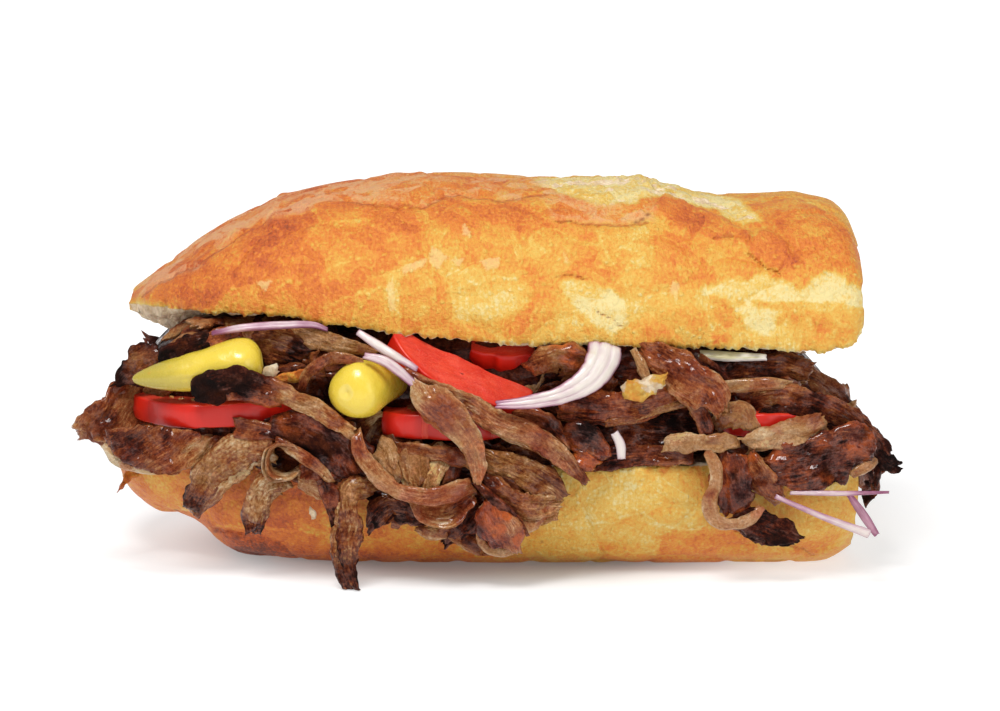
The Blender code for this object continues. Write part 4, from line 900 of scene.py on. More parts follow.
        (-58.5, -56, 31.5, 2.0, 0, 0.7), (-63, -56, 31, 3.7, 0, 0.75), (-66, -55, 27.5, 3.4, 0, 0.78), (-67.5, -54, 23, 3.2, 0, 0.72),
        (-68.5, -52, 19, 2.6, 0, 0.5), (-69, -50, 15, 1.4, 0, 0.3)]),
    "underDark": ("meat_strip_short", {}, [
        (-54.5, -57, 33, 2.3, 0, 0.6), (-50, -57, 31, 2.9, 0, 0.62), (-45.5, -57, 28, 2.3, 0, 0.6), (-42.5, -56, 24.5, 1.4, 0, 0.55)]),
    "stripRed": ("meat_strip_short", {"glaze": 0.5, "rim": -0.1, "thickness": 3.2}, [
        (-46.5, -60, 31.5, 2.3, 0, 0.45), (-45, -60, 27.5, 2.6, 0, 0.4), (-44.5, -59, 23, 2.3, 0, 0.3), (-43.5, -58, 18.5, 1.7, 0, 0.12),
        (-43.5, -57, 15.5, 0.9, 0, 0.08)]),
    "stripLong": ("meat_strip_long", {"hue": -0.3, "rim": -0.15, "crumple": 0.8, "fringe": 1.6, "sponge": 0.5, "ragged": 0.3, "char": 0.05, "thickness": 3.4}, [
        (-33, -58, 31, 2.3, 0, 0.55), (-38, -60, 30.5, 2.9, 0, 0.7), (-39.5, -61, 26, 2.6, 0, 0.72), (-39, -61, 20, 3.0, 0, 0.72),
        (-40, -61, 15, 3.3, 0, 0.55), (-40, -61, 9.5, 3.0, 0, 0.35), (-39.5, -61, 5, 1.9, 0, 0.22), (-38, -61, 0.8, 1.2, 0, 0.14)]),
    "smileRim": ("meat_slice_pocket", {"hue": 0.3, "wet": 0.3, "shade": 0.09, "comb": 0.1, "thickness": 3.4, "ragged": 0.15, "glaze": 0.4, "fold": 0.4, "char": 0, "wave": 0.6}, [
        (-37.5, -60, 47, 1.4, 0, 0.68), (-36.5, -62, 42, 2.0, 0, 0.6), (-34.5, -63, 38.5, 2.3, 0, 0.6), (-30.5, -64, 34, 2.6, 0, 0.6),
        (-25.5, -65, 30.5, 2.3, 0, 0.62), (-19.5, -65, 29, 2.3, 0, 0.65), (-14, -65, 29, 2.3, 0, 0.65), (-9, -64, 30.5, 2.6, 0, 0.62),
        (-4.5, -62, 31.5, 2.3, 0, 0.55)]),
    "pleatA": ("meat_slice_pocket", {"hue": -0.7, "shade": 0.1, "comb": 0.1, "char": 0, "glaze": 0, "fold": 1.2, "rim": 0}, [
        (-31, -57, 42, 2.3, 0, 0.75), (-29.5, -58, 40.5, 3.2, 0, 0.78), (-28, -59, 36.5, 2.6, 0, 0.75), (-26, -60, 33, 1.7, 0, 0.7)]),
    "pleatB": ("meat_slice_pocket", {"hue": -0.7, "shade": 0.1, "comb": 0.1, "char": 0, "glaze": 0.1, "fold": 1.2, "rim": 0}, [
        (-22, -57, 42.5, 2.9, 0, 0.6), (-21.5, -58, 40.5, 4.0, 0, 0.62), (-20.5, -60, 35.5, 3.7, 0, 0.6), (-19.5, -62, 31.5, 2.6, 0, 0.6)]),
    "pleatC": ("meat_slice_pocket", {"hue": -0.7, "shade": 0.1, "comb": 0.1, "char": 0, "glaze": 0, "fold": 1.0, "rim": 0}, [
        (-11.5, -58, 42, 2.6, 0, 0.7), (-13, -59, 38.5, 3.2, 0, 0.78), (-15, -61, 34.5, 2.6, 0, 0.76), (-16.5, -62, 30.5, 1.7, 0, 0.7)]),
    "pleatD": ("meat_slice_pocket", {}, [
        (-9, -58, 38.5, 2.0, 0, 0.3), (-10, -59, 35.5, 2.3, 0, 0.32), (-11, -60, 32, 1.7, 0, 0.35)]),
    "pocketTop": ("meat_slice_pocket", {}, [
        (-25.5, -58, 42, 1.4, 0, 0.5), (-19, -59, 41.5, 2.0, 0, 0.52), (-12, -60, 40.5, 2.3, 0, 0.5), (-6, -61, 38.5, 2.3, 0, 0.5),
        (-2.5, -61, 36, 1.4, 0, 0.5)]),
    "bowl": ("meat_slice_pocket", {"curl": -50, "shade": 0.08, "char": 0, "rim": 0.18, "fold": 0.5}, [
        (-20.5, -61, 28, 2.3, 0, 0.6), (-17, -62, 25, 4.0, 0, 0.62), (-12, -62, 24, 4.9, 0, 0.6), (-7.5, -61, 26, 3.7, 0, 0.55),
        (-4, -60, 28.5, 2.0, 0, 0.5)]),
    "darkFork": ("meat_slice_low", {"ragged": 0.35, "rim": 0.05}, [
        (-33.5, -56, 17.5, 1.1, 0, 0.25), (-31.5, -57, 20.5, 2.6, 0, 0.25), (-28, -58, 24, 3.7, 0, 0.28), (-23.5, -58, 23.5, 4.6, 0, 0.3),
        (-19.5, -58, 22.5, 4.3, 0, 0.32), (-16.5, -58, 25, 2.6, 0, 0.35)]),
    "paleLow": ("meat_slice_low", {}, [
        (-20, -57, 17.5, 0.9, 0, 0.6), (-16, -57, 16, 1.7, 0, 0.72), (-12, -57, 16, 1.4, 0, 0.7)]),
    "purpleLow": ("meat_slice_low", {"rim": 0.2}, [
        (-12, -57, 14.5, 1.7, 0, 0.35), (-9, -58, 18, 4.0, 0, 0.35), (-5.5, -58, 21, 5.2, 0, 0.33), (-2.5, -58, 24, 4.0, 0, 0.3)]),
    "paleBottom": ("meat_slice_low", {}, [
        (-11, -57, 15.5, 0.9, 0, 0.6), (-6.5, -57, 14, 2.3, 0, 0.62), (-2, -57, 11.5, 2.0, 0, 0.6), (4, -57, 10.5, 1.4, 0, 0.6)]),
    "oliveTop": ("meat_slice_grilled", {"hue": -0.9, "shade": 0.12, "fold": 1.2, "fibreWidth": 1.0, "ragged": 0.2}, [
        (-2, -57, 39.5, 1.7, 0, 0.45), (3, -59, 37.5, 3.4, 0, 0.5), (8, -60, 35.5, 4.3, 0, 0.55), (14, -60, 32.5, 4.6, 0, 0.5),
        (19, -59, 29.5, 3.4, 0, 0.5), (22, -58, 27, 1.7, 0, 0.45)]),
    "fibreMid": ("meat_slice_grilled", {"fold": 1.5, "foldWidth": 2.6, "fringe": 2.5, "glaze": 0.4}, [
        (-2.5, -60, 33, 2.3, 0, 0.5), (2.5, -62, 30, 3.4, 0, 0.45), (7.5, -62, 27, 3.7, 0, 0.5), (13, -61, 25, 3.7, 0, 0.6),
        (19, -59, 25, 2.6, 0, 0.65)]),
    "strand": ("meat_slice_grilled", {"glaze": 0.9, "knobs": 0.8, "thickness": 2.4}, [
        (-3, -63, 32.5, 0.9, 0, 0.3), (1, -64, 28.5, 1.4, 0, 0.25), (5.5, -64, 24.5, 1.4, 0, 0.3), (9.5, -63, 20.5, 1.1, 0, 0.25),
        (11.5, -62, 17.5, 0.6, 0, 0.2)]),
    "pinkLow": ("meat_slice_grilled", {"glaze": 0.3, "char": 0, "rim": 0.2}, [
        (7.5, -60, 21, 2.6, 0, 0.62), (11.5, -60, 21.5, 3.7, 0, 0.65), (15.5, -59, 23, 3.4, 0, 0.62), (19.5, -58, 25.5, 2.0, 0, 0.55)]),
    "grilled": ("meat_slice_grilled", {"hue": 0.8, "wet": 0.5, "glaze": 2.3, "shade": 0.1, "knobs": 1.0, "char": 0.12, "fold": 0.6, "rim": 0.1, "thickness": 3.0}, [
        (0, -62, 26.5, 2.0, 0, 0.5), (1.5, -63, 22.5, 4.3, 0, 0.52), (3.5, -63, 19, 5.7, 0, 0.52), (5.5, -62, 15.5, 5.2, 0, 0.52),
        (7, -61, 12.5, 2.3, 0, 0.55)]),
    "grilledRim": ("meat_slice_grilled", {"comb": -0.5, "wet": 0.5, "thickness": 1.8, "fold": 0, "char": 0, "glaze": 0.1}, [
        (-1.5, -62, 25.5, 0.6, 0, 0.8), (-2, -63, 21.5, 0.9, 0, 0.8), (-2, -62, 17, 0.9, 0, 0.82), (-0.5, -61, 13, 1.1, 0, 0.8),
        (3.5, -60, 11, 1.4, 0, 0.75), (7.5, -60, 11.5, 0.9, 0, 0.7)]),
    "clearStrip": ("meat_strip_clear", {"hue": 0.1, "wet": 1.0, "glaze": 0.8, "shade": 0.14, "fibre": 0.3, "comb": 0.1, "thickness": 2.0, "curl": 30, "ragged": 0.14, "rim": 0.22, "char": 0.0, "fold": 0.3}, [
        (-21, -62, 62, 1.1, 0, 0.6), (-18.5, -63, 58.5, 3.7, 0, 0.6), (-15, -64, 55.5, 5.5, 0, 0.58), (-10.5, -64, 51.5, 4.9, 0, 0.56),
        (-6.5, -64, 47, 3.7, 0, 0.56), (-3.5, -64, 42.5, 2.9, 0, 0.55), (-2.5, -63, 37.5, 2.3, 0, 0.5), (-2.5, -63, 32.5, 1.1, 0, 0.45)]),
    "ridge": ("meat_slice_ridge", {"hue": 0.3, "wet": 0.3, "shade": 0.05, "ragged": 0.16, "fold": 0.6, "rim": 0.2, "glaze": 0.35, "char": 0.05, "fringe": 2.0}, [
        (-23, -58.5, 64, 1.4, 0, 0.6), (-18.5, -59.5, 61.5, 2.0, 0, 0.58), (-11, -60, 57.5, 2.5, 0, 0.56), (-4, -60.5, 54, 3.0, 0, 0.56),
        (3.5, -61, 49.5, 3.2, 0, 0.55), (11.5, -61, 46.5, 3.2, 0, 0.55), (18, -61, 42.5, 2.9, 0, 0.5), (23.5, -61, 37.5, 2.3, 0, 0.42),
        (27.5, -60, 33, 1.1, 0, 0.3)]),
    "ridgeUpper": ("meat_slice_ridge", {}, [
        (7, -55, 49.5, 1.7, 0, 0.4), (11.5, -56, 49.5, 3.0, 0, 0.42), (16, -57, 48, 3.6, 0, 0.42), (20, -57, 44.5, 3.4, 0, 0.45),
        (23, -57, 40.5, 2.3, 0, 0.4)]),
    "glossLump": ("meat_slice_centre", {"wet": 1, "glaze": 0.7, "knobs": 1.2, "thickness": 4.0}, [
        (22, -55, 43.5, 2.3, 0, 0.25), (25.5, -57, 44.5, 4.0, 0, 0.25), (29.5, -57, 43, 4.3, 0, 0.3), (33, -56, 41, 3.2, 0, 0.35),
        (35, -55, 39, 1.4, 0, 0.4)]),
    "glossOrange": ("meat_slice_centre", {"wet": 1, "glaze": 1.5, "knobs": 1.0, "thickness": 4.0}, [
        (25.5, -57, 39.5, 1.7, 0, 0.4), (28.5, -58, 38, 2.6, 0, 0.45), (31.5, -57, 36.5, 1.7, 0, 0.4)]),
    "longFlat": ("meat_slice_rolled", {"hue": 0.4, "glaze": 0.6, "fold": 1.0, "ragged": 0.16, "thickness": 3.0}, [
        (21.5, -54, 54, 3.4, 0, 0.35), (28.5, -55, 54, 4.3, 0, 0.38), (36.5, -55, 53.5, 4.3, 0, 0.42), (44.5, -55, 54.5, 4.0, 0, 0.45),
        (51.5, -54, 56, 3.2, 0, 0.45), (58.5, -53, 57.5, 1.7, 0, 0.4)]),
    "longFlatRim": ("meat_slice_rolled", {"fold": 0, "thickness": 2.2, "ragged": 0.15, "wave": 0.4}, [
        (34.5, -55, 48, 1.1, 0, 0.6), (41.5, -56, 50, 1.1, 0, 0.65), (50, -56, 52.5, 1.1, 0, 0.65), (57.5, -55, 54, 0.9, 0, 0.6)]),
    "torn": ("meat_slice_torn", {"ragged": 0.2, "fold": 1.0, "glaze": 0.4, "fringe": 2.5}, [
        (44.5, -50, 69.5, 2.3, 0, 0.45), (51.5, -54, 66, 4.3, 0, 0.48), (58.5, -57, 61.5, 5.2, 0, 0.55), (65, -58, 57.5, 4.6, 0, 0.6),
        (67, -58, 53.5, 2.0, 0, 0.6)]),
    "tornEdge": ("meat_slice_torn", {"comb": -0.5, "wet": 0.5, "fold": 0.1, "thickness": 2.0, "char": 0}, [
        (42.5, -52, 69.5, 0.9, 0, 0.75), (44.5, -54, 66, 1.4, 0, 0.72), (46, -55, 62.5, 1.7, 0, 0.7), (47.5, -56, 60, 1.1, 0, 0.7)]),
    "tornTail": ("meat_slice_torn", {"glaze": 0.3}, [
        (60, -57, 55, 2.3, 0, 0.35), (61.5, -57, 51, 2.3, 0, 0.35), (63, -57, 47.5, 2.0, 0, 0.35), (64, -56, 43.5, 1.1, 0, 0.35)]),
    "orangeChunk": ("meat_slice_torn", {"glaze": 1.0, "knobs": 1.1, "thickness": 4.5, "ragged": 0.3}, [
        (12.5, -50, 63.5, 2.3, 0, 0.5), (17, -52, 66, 3.7, 0, 0.5), (21, -52, 67, 4.3, 0, 0.55), (25.5, -51, 66, 3.7, 0, 0.5),
        (29.5, -50, 64, 2.3, 0, 0.45)]),
    "darkUpper": ("meat_slice_dome", {}, [
        (65.5, -45, 61.5, 2.3, 0, 0.3), (75, -46, 63.5, 3.2, 0, 0.3), (85.5, -46, 63.5, 3.4, 0, 0.35), (94, -45, 61.5, 2.9, 0, 0.4)]),
    "beigeStrip": ("meat_strip_beige", {"comb": -0.5, "wet": 0.5, "char": 0, "ragged": 0.12}, [
        (68, -51, 58.5, 1.7, 0, 0.7), (75, -52, 59, 2.0, 0, 0.75), (82, -52, 59.5, 1.7, 0, 0.72), (88, -51, 59, 1.1, 0, 0.65)]),
    "domeFront": ("meat_slice_dome", {"fold": 1.0, "foldWidth": 2.5, "fringe": 2.5, "ragged": 0.2, "glaze": 0.2}, [
        (78, -50, 54, 1.7, 0, 0.6), (83.5, -51, 55.5, 2.9, 0, 0.55), (91, -51, 54.5, 3.4, 0, 0.5), (98.5, -50, 52, 3.4, 0, 0.45),
        (105, -48, 48, 3.4, 0, 0.35), (111.5, -46, 42, 3.4, 0, 0.28), (116.5, -44, 36, 2.3, 0, 0.2)]),
    "fringe": ("meat_slice_dome", {"knobs": 0.8, "ragged": 0.5, "fringe": 2.0, "rim": 0}, [
        (107.5, -46, 46, 1.4, 0, 0.25), (112, -45, 40.5, 2.3, 0, 0.2), (116.5, -44, 35.5, 2.6, 0, 0.14), (119.5, -43, 33, 1.6, 0, 0.12)]),
    "spikeA": ("meat_slice_dome", {"ragged": 0.5, "thickness": 1.6, "fringe": 1.0, "rim": 0}, [
        (111, -45, 36.5, 1.3, 0, 0.22), (112, -45, 32, 1.1, 0, 0.18), (113, -45, 28.5, 0.6, 0, 0.12)]),
    "spikeB": ("meat_slice_dome", {"ragged": 0.5, "thickness": 1.6, "fringe": 1.0, "rim": 0}, [
        (114.5, -44, 35, 1.3, 0, 0.2), (114.5, -44, 30, 1.1, 0, 0.16), (114, -44, 26.5, 0.6, 0, 0.12)]),
    "spikeC": ("meat_slice_dome", {"ragged": 0.5, "thickness": 1.6, "fringe": 1.0, "rim": 0}, [
        (116.5, -43, 34, 1.1, 0, 0.06), (119, -43, 32.5, 1.1, 0, 0.05), (121, -43, 32, 0.6, 0, 0.05)]),
    "paleLeft": ("meat_strip_pale", {"comb": -0.5, "wet": 0.5, "char": 0, "thickness": 4.0, "crumple": 0.7, "rim": 0.05, "glaze": 0.1}, [
        (51.5, -55, 41.5, 1.8, 0, 0.8), (56, -56, 42.5, 2.9, 0, 0.84), (61.5, -57, 43, 2.8, 0, 0.86), (67.5, -57, 43, 2.6, 0, 0.84),
        (72.5, -56, 43.5, 1.8, 0, 0.8)]),
    "paleMid": ("meat_strip_pale", {"comb": -0.5, "wet": 0.5, "char": 0, "thickness": 3.5, "curl": 30, "rim": 0.3}, [
        (66.5, -54, 47.5, 2.6, 0, 0.6), (70, -55, 50, 3.4, 0, 0.6), (74, -55, 49.5, 3.7, 0, 0.6), (77, -54, 46.5, 2.3, 0, 0.7)]),
    "paleRight": ("meat_strip_pale", {"comb": -0.5, "wet": 0.5, "char": 0, "thickness": 4.0, "crumple": 0.6, "rim": 0.05, "glaze": 0.2}, [
        (75, -56, 43, 2.4, 0, 0.82), (80.5, -57, 44.5, 3.5, 0, 0.82), (86.5, -56, 45.5, 3.5, 0, 0.78), (92, -55, 47, 3.1, 0, 0.76),
        (97, -53, 49, 2.0, 0, 0.72)]),
    "redRight": ("meat_slice_red", {"hue": 0.6, "wet": 0.4, "glaze": 0.7, "knobs": 0.8, "fold": 1.0, "ragged": 0.18, "char": 0.2}, [
        (80.5, -55, 34.5, 2.9, 0, 0.3), (86.5, -56, 35.5, 6.3, 0, 0.28), (93, -56, 36.5, 8.0, 0, 0.28), (99.5, -55, 38.5, 8.0, 0, 0.27),
        (106, -53, 39.5, 6.9, 0, 0.25), (112, -50, 38, 4.0, 0, 0.2)]),
    "redEdge": ("meat_slice_red", {"comb": -0.5, "wet": 0.5, "char": 0, "glaze": 0.3}, [
        (106, -53, 33, 1.1, 0, 0.7), (110.5, -52, 35, 1.7, 0, 0.72), (113.5, -50, 36.5, 1.1, 0, 0.65)]),
    "flapRim": ("meat_slice_flap", {"comb": -0.5, "wet": 0.5, "char": 0, "thickness": 3.2, "ragged": 0.16, "fold": 0.2, "wave": 0.6}, [
        (64, -57, 40.5, 1.4, 0, 0.7), (66.5, -58, 35.5, 1.7, 0, 0.72), (66, -59, 31, 1.7, 0, 0.72), (64.5, -59, 25.5, 2.0, 0, 0.75),
        (66.5, -59, 20.5, 2.0, 0, 0.8), (71.5, -59, 19.5, 1.7, 0, 0.82), (76.5, -58, 20.5, 1.7, 0, 0.8), (79.5, -57, 23.5, 1.1, 0, 0.75)]),
    "flapPocket": ("meat_slice_flap", {"hue": 0.8, "wet": 0.5, "glaze": 0.6, "fold": 1.4, "foldWidth": 3.0, "rim": 0}, [
        (70.5, -57, 39.5, 4.0, 0, 0.4), (71.5, -58, 34.5, 5.2, 0, 0.35), (72, -59, 29.5, 5.2, 0, 0.3), (73, -58, 24, 4.0, 0, 0.3)]),
    "flapBand": ("meat_slice_flap", {"glaze": 1.1, "char": 0.05, "fold": 0.8}, [
        (75.5, -57, 39, 2.3, 0, 0.55), (78.5, -57, 35, 3.4, 0, 0.6), (81.5, -56, 30.5, 3.4, 0, 0.62), (84.5, -55, 26, 2.0, 0, 0.6)]),
    "flapDark": ("meat_slice_flap", {"glaze": 0.2, "rim": 0.05, "fringe": 1.8}, [
        (71.5, -57, 20, 1.1, 0, 0.25), (76.5, -57, 20, 3.4, 0, 0.25), (81.5, -57, 18.5, 4.3, 0, 0.22), (86, -56, 16, 3.4, 0, 0.2),
        (90, -55, 14, 1.4, 0, 0.2)]),
}


def makeSlices():
    for k, (name, (node, look, stations)) in enumerate(slices.items()):
        points, faces, uv, layers = sliceShell(stations, 1000 + 23 * k, **look)
        points[:, 2] = np.maximum(points[:, 2], 0.35)
        chance = np.random.default_rng(k)
        kind = {"comb": look.get("comb", chance.uniform(0, 0.6)), "hue": look.get("hue", chance.uniform(-0.5, 0.5))}
        finished(meshFrom(name, points, faces, uv, {**layers, **kind}), node, meatMaterial)
        broad = max(station[3] for station in stations)
        if broad < 3.1 or "curl" in look or "knobs" in look or "back" in name.lower():
            continue
        # a second slice lies behind and peeps out along the edges
        side, drop, shade = chance.uniform(-1.6, 1.6), chance.uniform(0.4, 1.8), chance.uniform(-0.16, 0.2)
        under = [(x + side, y + 1.5, z - drop, half * 1.02, roll, tone) for x, y, z, half, roll, tone in stations]
        behind = {**look, "shade": shade, "fold": 0.4, "crumple": 0.5}
        points, faces, uv, layers = sliceShell(under, 5000 + 23 * k, **behind)
        points[:, 2] = np.maximum(points[:, 2], 0.35)
        finished(meshFrom(name + "Ply", points, faces, uv, {**layers, **kind}), node, meatMaterial)


heapCore()
scatterScraps()
print("heap of meat made")
makeSlices()
print("meat slices made")


# ---- flakes of crust ----

# crust that broke off: stations along each flake: x, y, z, half width, roll, and how pale
flakes = {
    "flakeMiddle": [(39.5, -57.5, 57, 1.8, 0, 0.85), (42, -58, 57.5, 3.0, 0, 0.8), (45, -58, 59, 2.6, 0, 0.85), (48, -58, 61, 2.4, 0, 0.9), (51, -57.5, 62.5, 1.4, 0, 0.8)],
    "flakeLeft": [(-60.5, -55, 61.8, 0.9, 0, 0.7), (-57, -55.5, 62.6, 1.5, 0, 0.6), (-53.5, -55.5, 63.2, 1.4, 0, 0.6), (-50, -55, 64.2, 0.8, 0, 0.65)],
    "crumbLeft": [(-64, -54, 62, 1.2, 0, 1.0), (-62.5, -54.5, 63, 1.8, 0, 1.0), (-60.5, -54, 64, 1.0, 0, 1.0)],
    "flakeTip": [(-101.5, -20.5, 31, 2.4, 0, 0.6), (-104.5, -22, 29, 2.8, 0, 0.6), (-107, -23.5, 26, 2.0, 0, 0.5), (-109.6, -24.5, 21.5, 0.5, 0, 0.3)],
    "crumbLow": [(-51.5, -56, 23, 0.8, 0, 1.0), (-50.8, -56.3, 21.8, 1.3, 0, 1.0), (-50.5, -56, 20.4, 0.8, 0, 1.0)],
}


def makeFlakes():
    for k, (name, stations) in enumerate(flakes.items()):
        points, faces, uv, layers = sliceShell(stations, 4000 + 30 * k, ragged=0.5, fringe=0.8, thickness=4.5, crumple=1.6, knobs=1.4,
                                               fold=0.3, fibre=0, char=0, rim=0, spacing=0.45)
        pale = layers["tone"]
        made = meshFrom(name, points, faces, uv, {"gold": pale - 0.15, "crumb": soft(pale, 0.7, 1.0) * 0.9, "flake": -9.0, "line": 9.0,
                                                  "crack": 9.0, "sheen": 0.0, "burn": 0.0})
        finished(made, "bread_lower" if name == "flakeTip" else "bread_upper", breadMaterial)


makeFlakes()
print("flakes made")


# ---- tomato ----

tomato = {
    "thickness": 7.0, "spacing": 0.7, "wall": 5.5,
    # middle, radius, turn about X and Y, and straight cuts: how far from the middle, and the way that is kept
    "slices": {
        "tomato_slice_left": ((-76, -27, 50.9), 29.5, (0.5, -2.5), []),
        "tomato_slice_middle": ((-11, -29, 47.3), 29.5, (0, 1), [(2, 270), (-19, 0)]),
        "tomato_wedge_upper": ((-3, -33.5, 70.4), 30, (33, 25), [(15.5, 270), (-23, 0), (-21, 180)]),
        "tomato_wedge_inner": ((5.5, -24.6, 75.4), 24, (30, 4), [(13, 270), (-9.5, 0), (-9, 180)]),
        "tomato_slice_right": ((80, -33.5, 47.4), 20, (1, 1), [(6, 270), (-10, 180)]),
        "tomato_slice_back": ((18, 25, 53.5), 28.5, (-3, -3), []),
    },
}


def tomatoLook(graph):
    place = graph.node("ShaderNodeTexCoord", output="Object")
    uv = graph.node("ShaderNodeUVMap", {"uv_map": "along"})
    depth, gel = graph.layer("depth"), graph.layer("gel")
    mottle = graph.noise(place, 0.005, 3, 0.6)
    fine = graph.noise(uv, 0.05, 3, 0.7)
    flesh = graph.mix(mottle.step(0.3, 0.7), rgb(208, 34, 15), rgb(224, 56, 28))
    flesh = graph.mix(depth.step(0.0, 0.6), rgb(206, 30, 14), flesh)
    streak = graph.noise(graph.scaled(uv, (0.25, 1.0, 1.0)), 0.16, 3, 0.6)
    flesh = graph.mix((streak - 0.5).most(0) * 2.2 * depth.step(0.3, 2.0), flesh, rgb(226, 92, 62))
    flesh = graph.mix((0.5 - streak).most(0) * 1.6, flesh, rgb(164, 18, 8))
    flesh = graph.mix((gel * 0.7).least(1), flesh, rgb(184, 52, 20))
    # pale pinkish speckle over the cut flesh: painted moist highlights
    pale = ((fine - 0.45) * 1.6 * depth.step(0.8, 2.5)).most(0).least(0.35)
    flesh = graph.mix(pale, flesh, rgb(236, 128, 104))
    return {"Base Color": flesh, "Roughness": (0.3 + depth.step(0.2, 2.0) * 0.04 + mottle * 0.1), "Bump": (fine * depth.step(0.2, 1.5) + mottle * 0.4, 0.25)}


tomatoMaterial = newMaterial("tomatoFlesh", tomatoLook, Specular_IOR_Level=0.35, Coat_Weight=0.2, Coat_Roughness=0.12,
                             Subsurface_Weight=0.12, Subsurface_Radius=(1.0, 0.25, 0.12), Subsurface_Scale=0.003)


def seedTree(seedShape):
    # spreads seeds over the wet parts of a cut face
    graph, wires = newTree("tomatoSeeds", {"Apart": ("Float", 2.6 * mm), "Density": ("Float", 260000.0), "Seed": ("Int", 2),
                                           "Material": ("Material", None)})
    points = graph.tree.nodes.new("GeometryNodeDistributePointsOnFaces")
    points.distribute_method = "POISSON"
    for name, wire in (("Mesh", "Geometry"), ("Distance Min", "Apart"), ("Density Max", "Density"), ("Seed", "Seed")):
        graph.tree.links.new(wires[wire].socket, points.inputs[name])
    spots, rotation = Wire(graph, points.outputs["Points"]), Wire(graph, points.outputs["Rotation"])
    spin = graph.node("FunctionNodeRandomValue", {"data_type": "FLOAT_VECTOR"}, {0: (0, 0, 0), 1: (0, 0, 6.28), "Seed": wires["Seed"]})
    turned = graph.node("FunctionNodeRotateRotation", {"rotation_space": "LOCAL"}, {"Rotation": rotation, "Rotate By": spin})
    source = graph.node("GeometryNodeObjectInfo", None, {"Object": seedShape, "As Instance": True}, output="Geometry")
    placed = graph.node("GeometryNodeInstanceOnPoints", None, {"Points": spots, "Instance": source, "Rotation": turned})
    endTree(graph, placed, wires["Material"])
    return graph.tree


def tomatoShape(node):
    at, radius, turn, cuts = tomato["slices"][node]
    half, step = tomato["thickness"] / 2, tomato["spacing"] * fine
    wall = tomato["wall"] + (9 if "wedge" in node else 0)
    chance = np.random.default_rng(len(node))
    phase = chance.uniform(0, 6.28, 3)
    grid = np.stack(np.meshgrid(*[np.linspace(-radius, radius, 61)] * 2), -1).reshape(-1, 2)
    kept = np.hypot(*grid.T) < radius
    for distance, heading in cuts:
        kept &= grid @ np.array([math.cos(math.radians(heading)), math.sin(math.radians(heading))]) > distance
    middle = grid[kept].mean(0)
    angle = np.linspace(0, 2 * np.pi, int(2 * np.pi * radius / step), endpoint=False)
    ray = np.stack([np.cos(angle), np.sin(angle)], -1)
    lobes = radius * (1 + 0.008 * np.sin(5 * angle + phase[0]) + 0.006 * np.sin(9 * angle + phase[1]) - 0.008)
    dot = ray @ middle
    reach = -dot + np.sqrt(dot**2 + lobes**2 - middle @ middle)
    for distance, heading in cuts:
        normal = np.array([math.cos(math.radians(heading)), math.sin(math.radians(heading))])
        facing = ray @ normal
        limit = np.where(facing < -1e-3, (middle @ normal - distance) / np.maximum(-facing, 1e-3), 1e9)
        if heading == 270:
            limit = limit * (1 + 0.07 * np.sin(limit * facing * 0 + (middle[0] + ray[:, 0] * np.minimum(limit, radius)) / 3.1 + phase[2]))
        reach = np.minimum(reach, limit)
    skin = radius - np.hypot(*(middle[:, None] + (ray * reach[:, None]).T))
    shares = np.linspace(0.02, 1, int(reach.max() / step))
    dip = lambda p, side: 0.35 * speckle(p[..., 0] / 5, p[..., 1] / 5, 40 + side, 3)
    levels = [(share, 1) for share in shares] + [(1, k) for k in np.linspace(1, -1, 13)[1:-1]] + [(share, -1) for share in shares[::-1]]
    rings, uvs, depths, gels = [], [], [], []
    for share, level in levels:
        flat = middle + ray * (reach * share)[:, None]
        round = soft(skin, 1.0, 0.0) if share == 1 else 0
        bulge = 0.55 * (1 - level * level) * round
        inner = np.clip((radius - np.hypot(*flat.T)), 0, None)
        polar, off = np.arctan2(flat[:, 1], flat[:, 0]), np.hypot(*flat.T)
        chamber = soft(np.cos(polar * 5 + phase[0]), -0.55, -0.1) * soft(inner, wall - 0.6, wall + 0.8) * soft(off, 5.5, 7.5)
        chamber = chamber * (abs(level) == 1)
        z = half * level * (1 - 0.06 * (share == 1) * (abs(level) == 1)) + np.sign(level) * (abs(level) == 1) * (dip(flat, 1) - 0.8 * chamber)
        flat = flat + ray * bulge * np.ones((len(ray), 1)) if np.ndim(bulge) == 0 else flat + ray * bulge[:, None]
        rings.append(np.column_stack([flat, z]))
        uvs.append(flat / 10)
        depths.append(inner if share < 1 or abs(level) == 1 else np.where(skin < 0.6, 0, 3.0))
        gels.append(chamber)
    points = np.vstack(rings)
    tilt, lean = (math.radians(a) for a in turn)
    turnX = np.array([[1, 0, 0], [0, math.cos(tilt), -math.sin(tilt)], [0, math.sin(tilt), math.cos(tilt)]])
    turnY = np.array([[math.cos(lean), 0, math.sin(lean)], [0, 1, 0], [-math.sin(lean), 0, math.cos(lean)]])
    points = points @ (turnY @ turnX).T + np.array(at)
    count = len(rings)
    faces = rows(count, len(ray), closed=True).tolist()
    faces += [list(range(len(ray)))[::-1], [(count - 1) * len(ray) + k for k in range(len(ray))]]
    return points, [face[::-1] for face in faces], np.vstack(uvs), {"depth": np.concatenate(depths), "gel": np.concatenate(gels)}


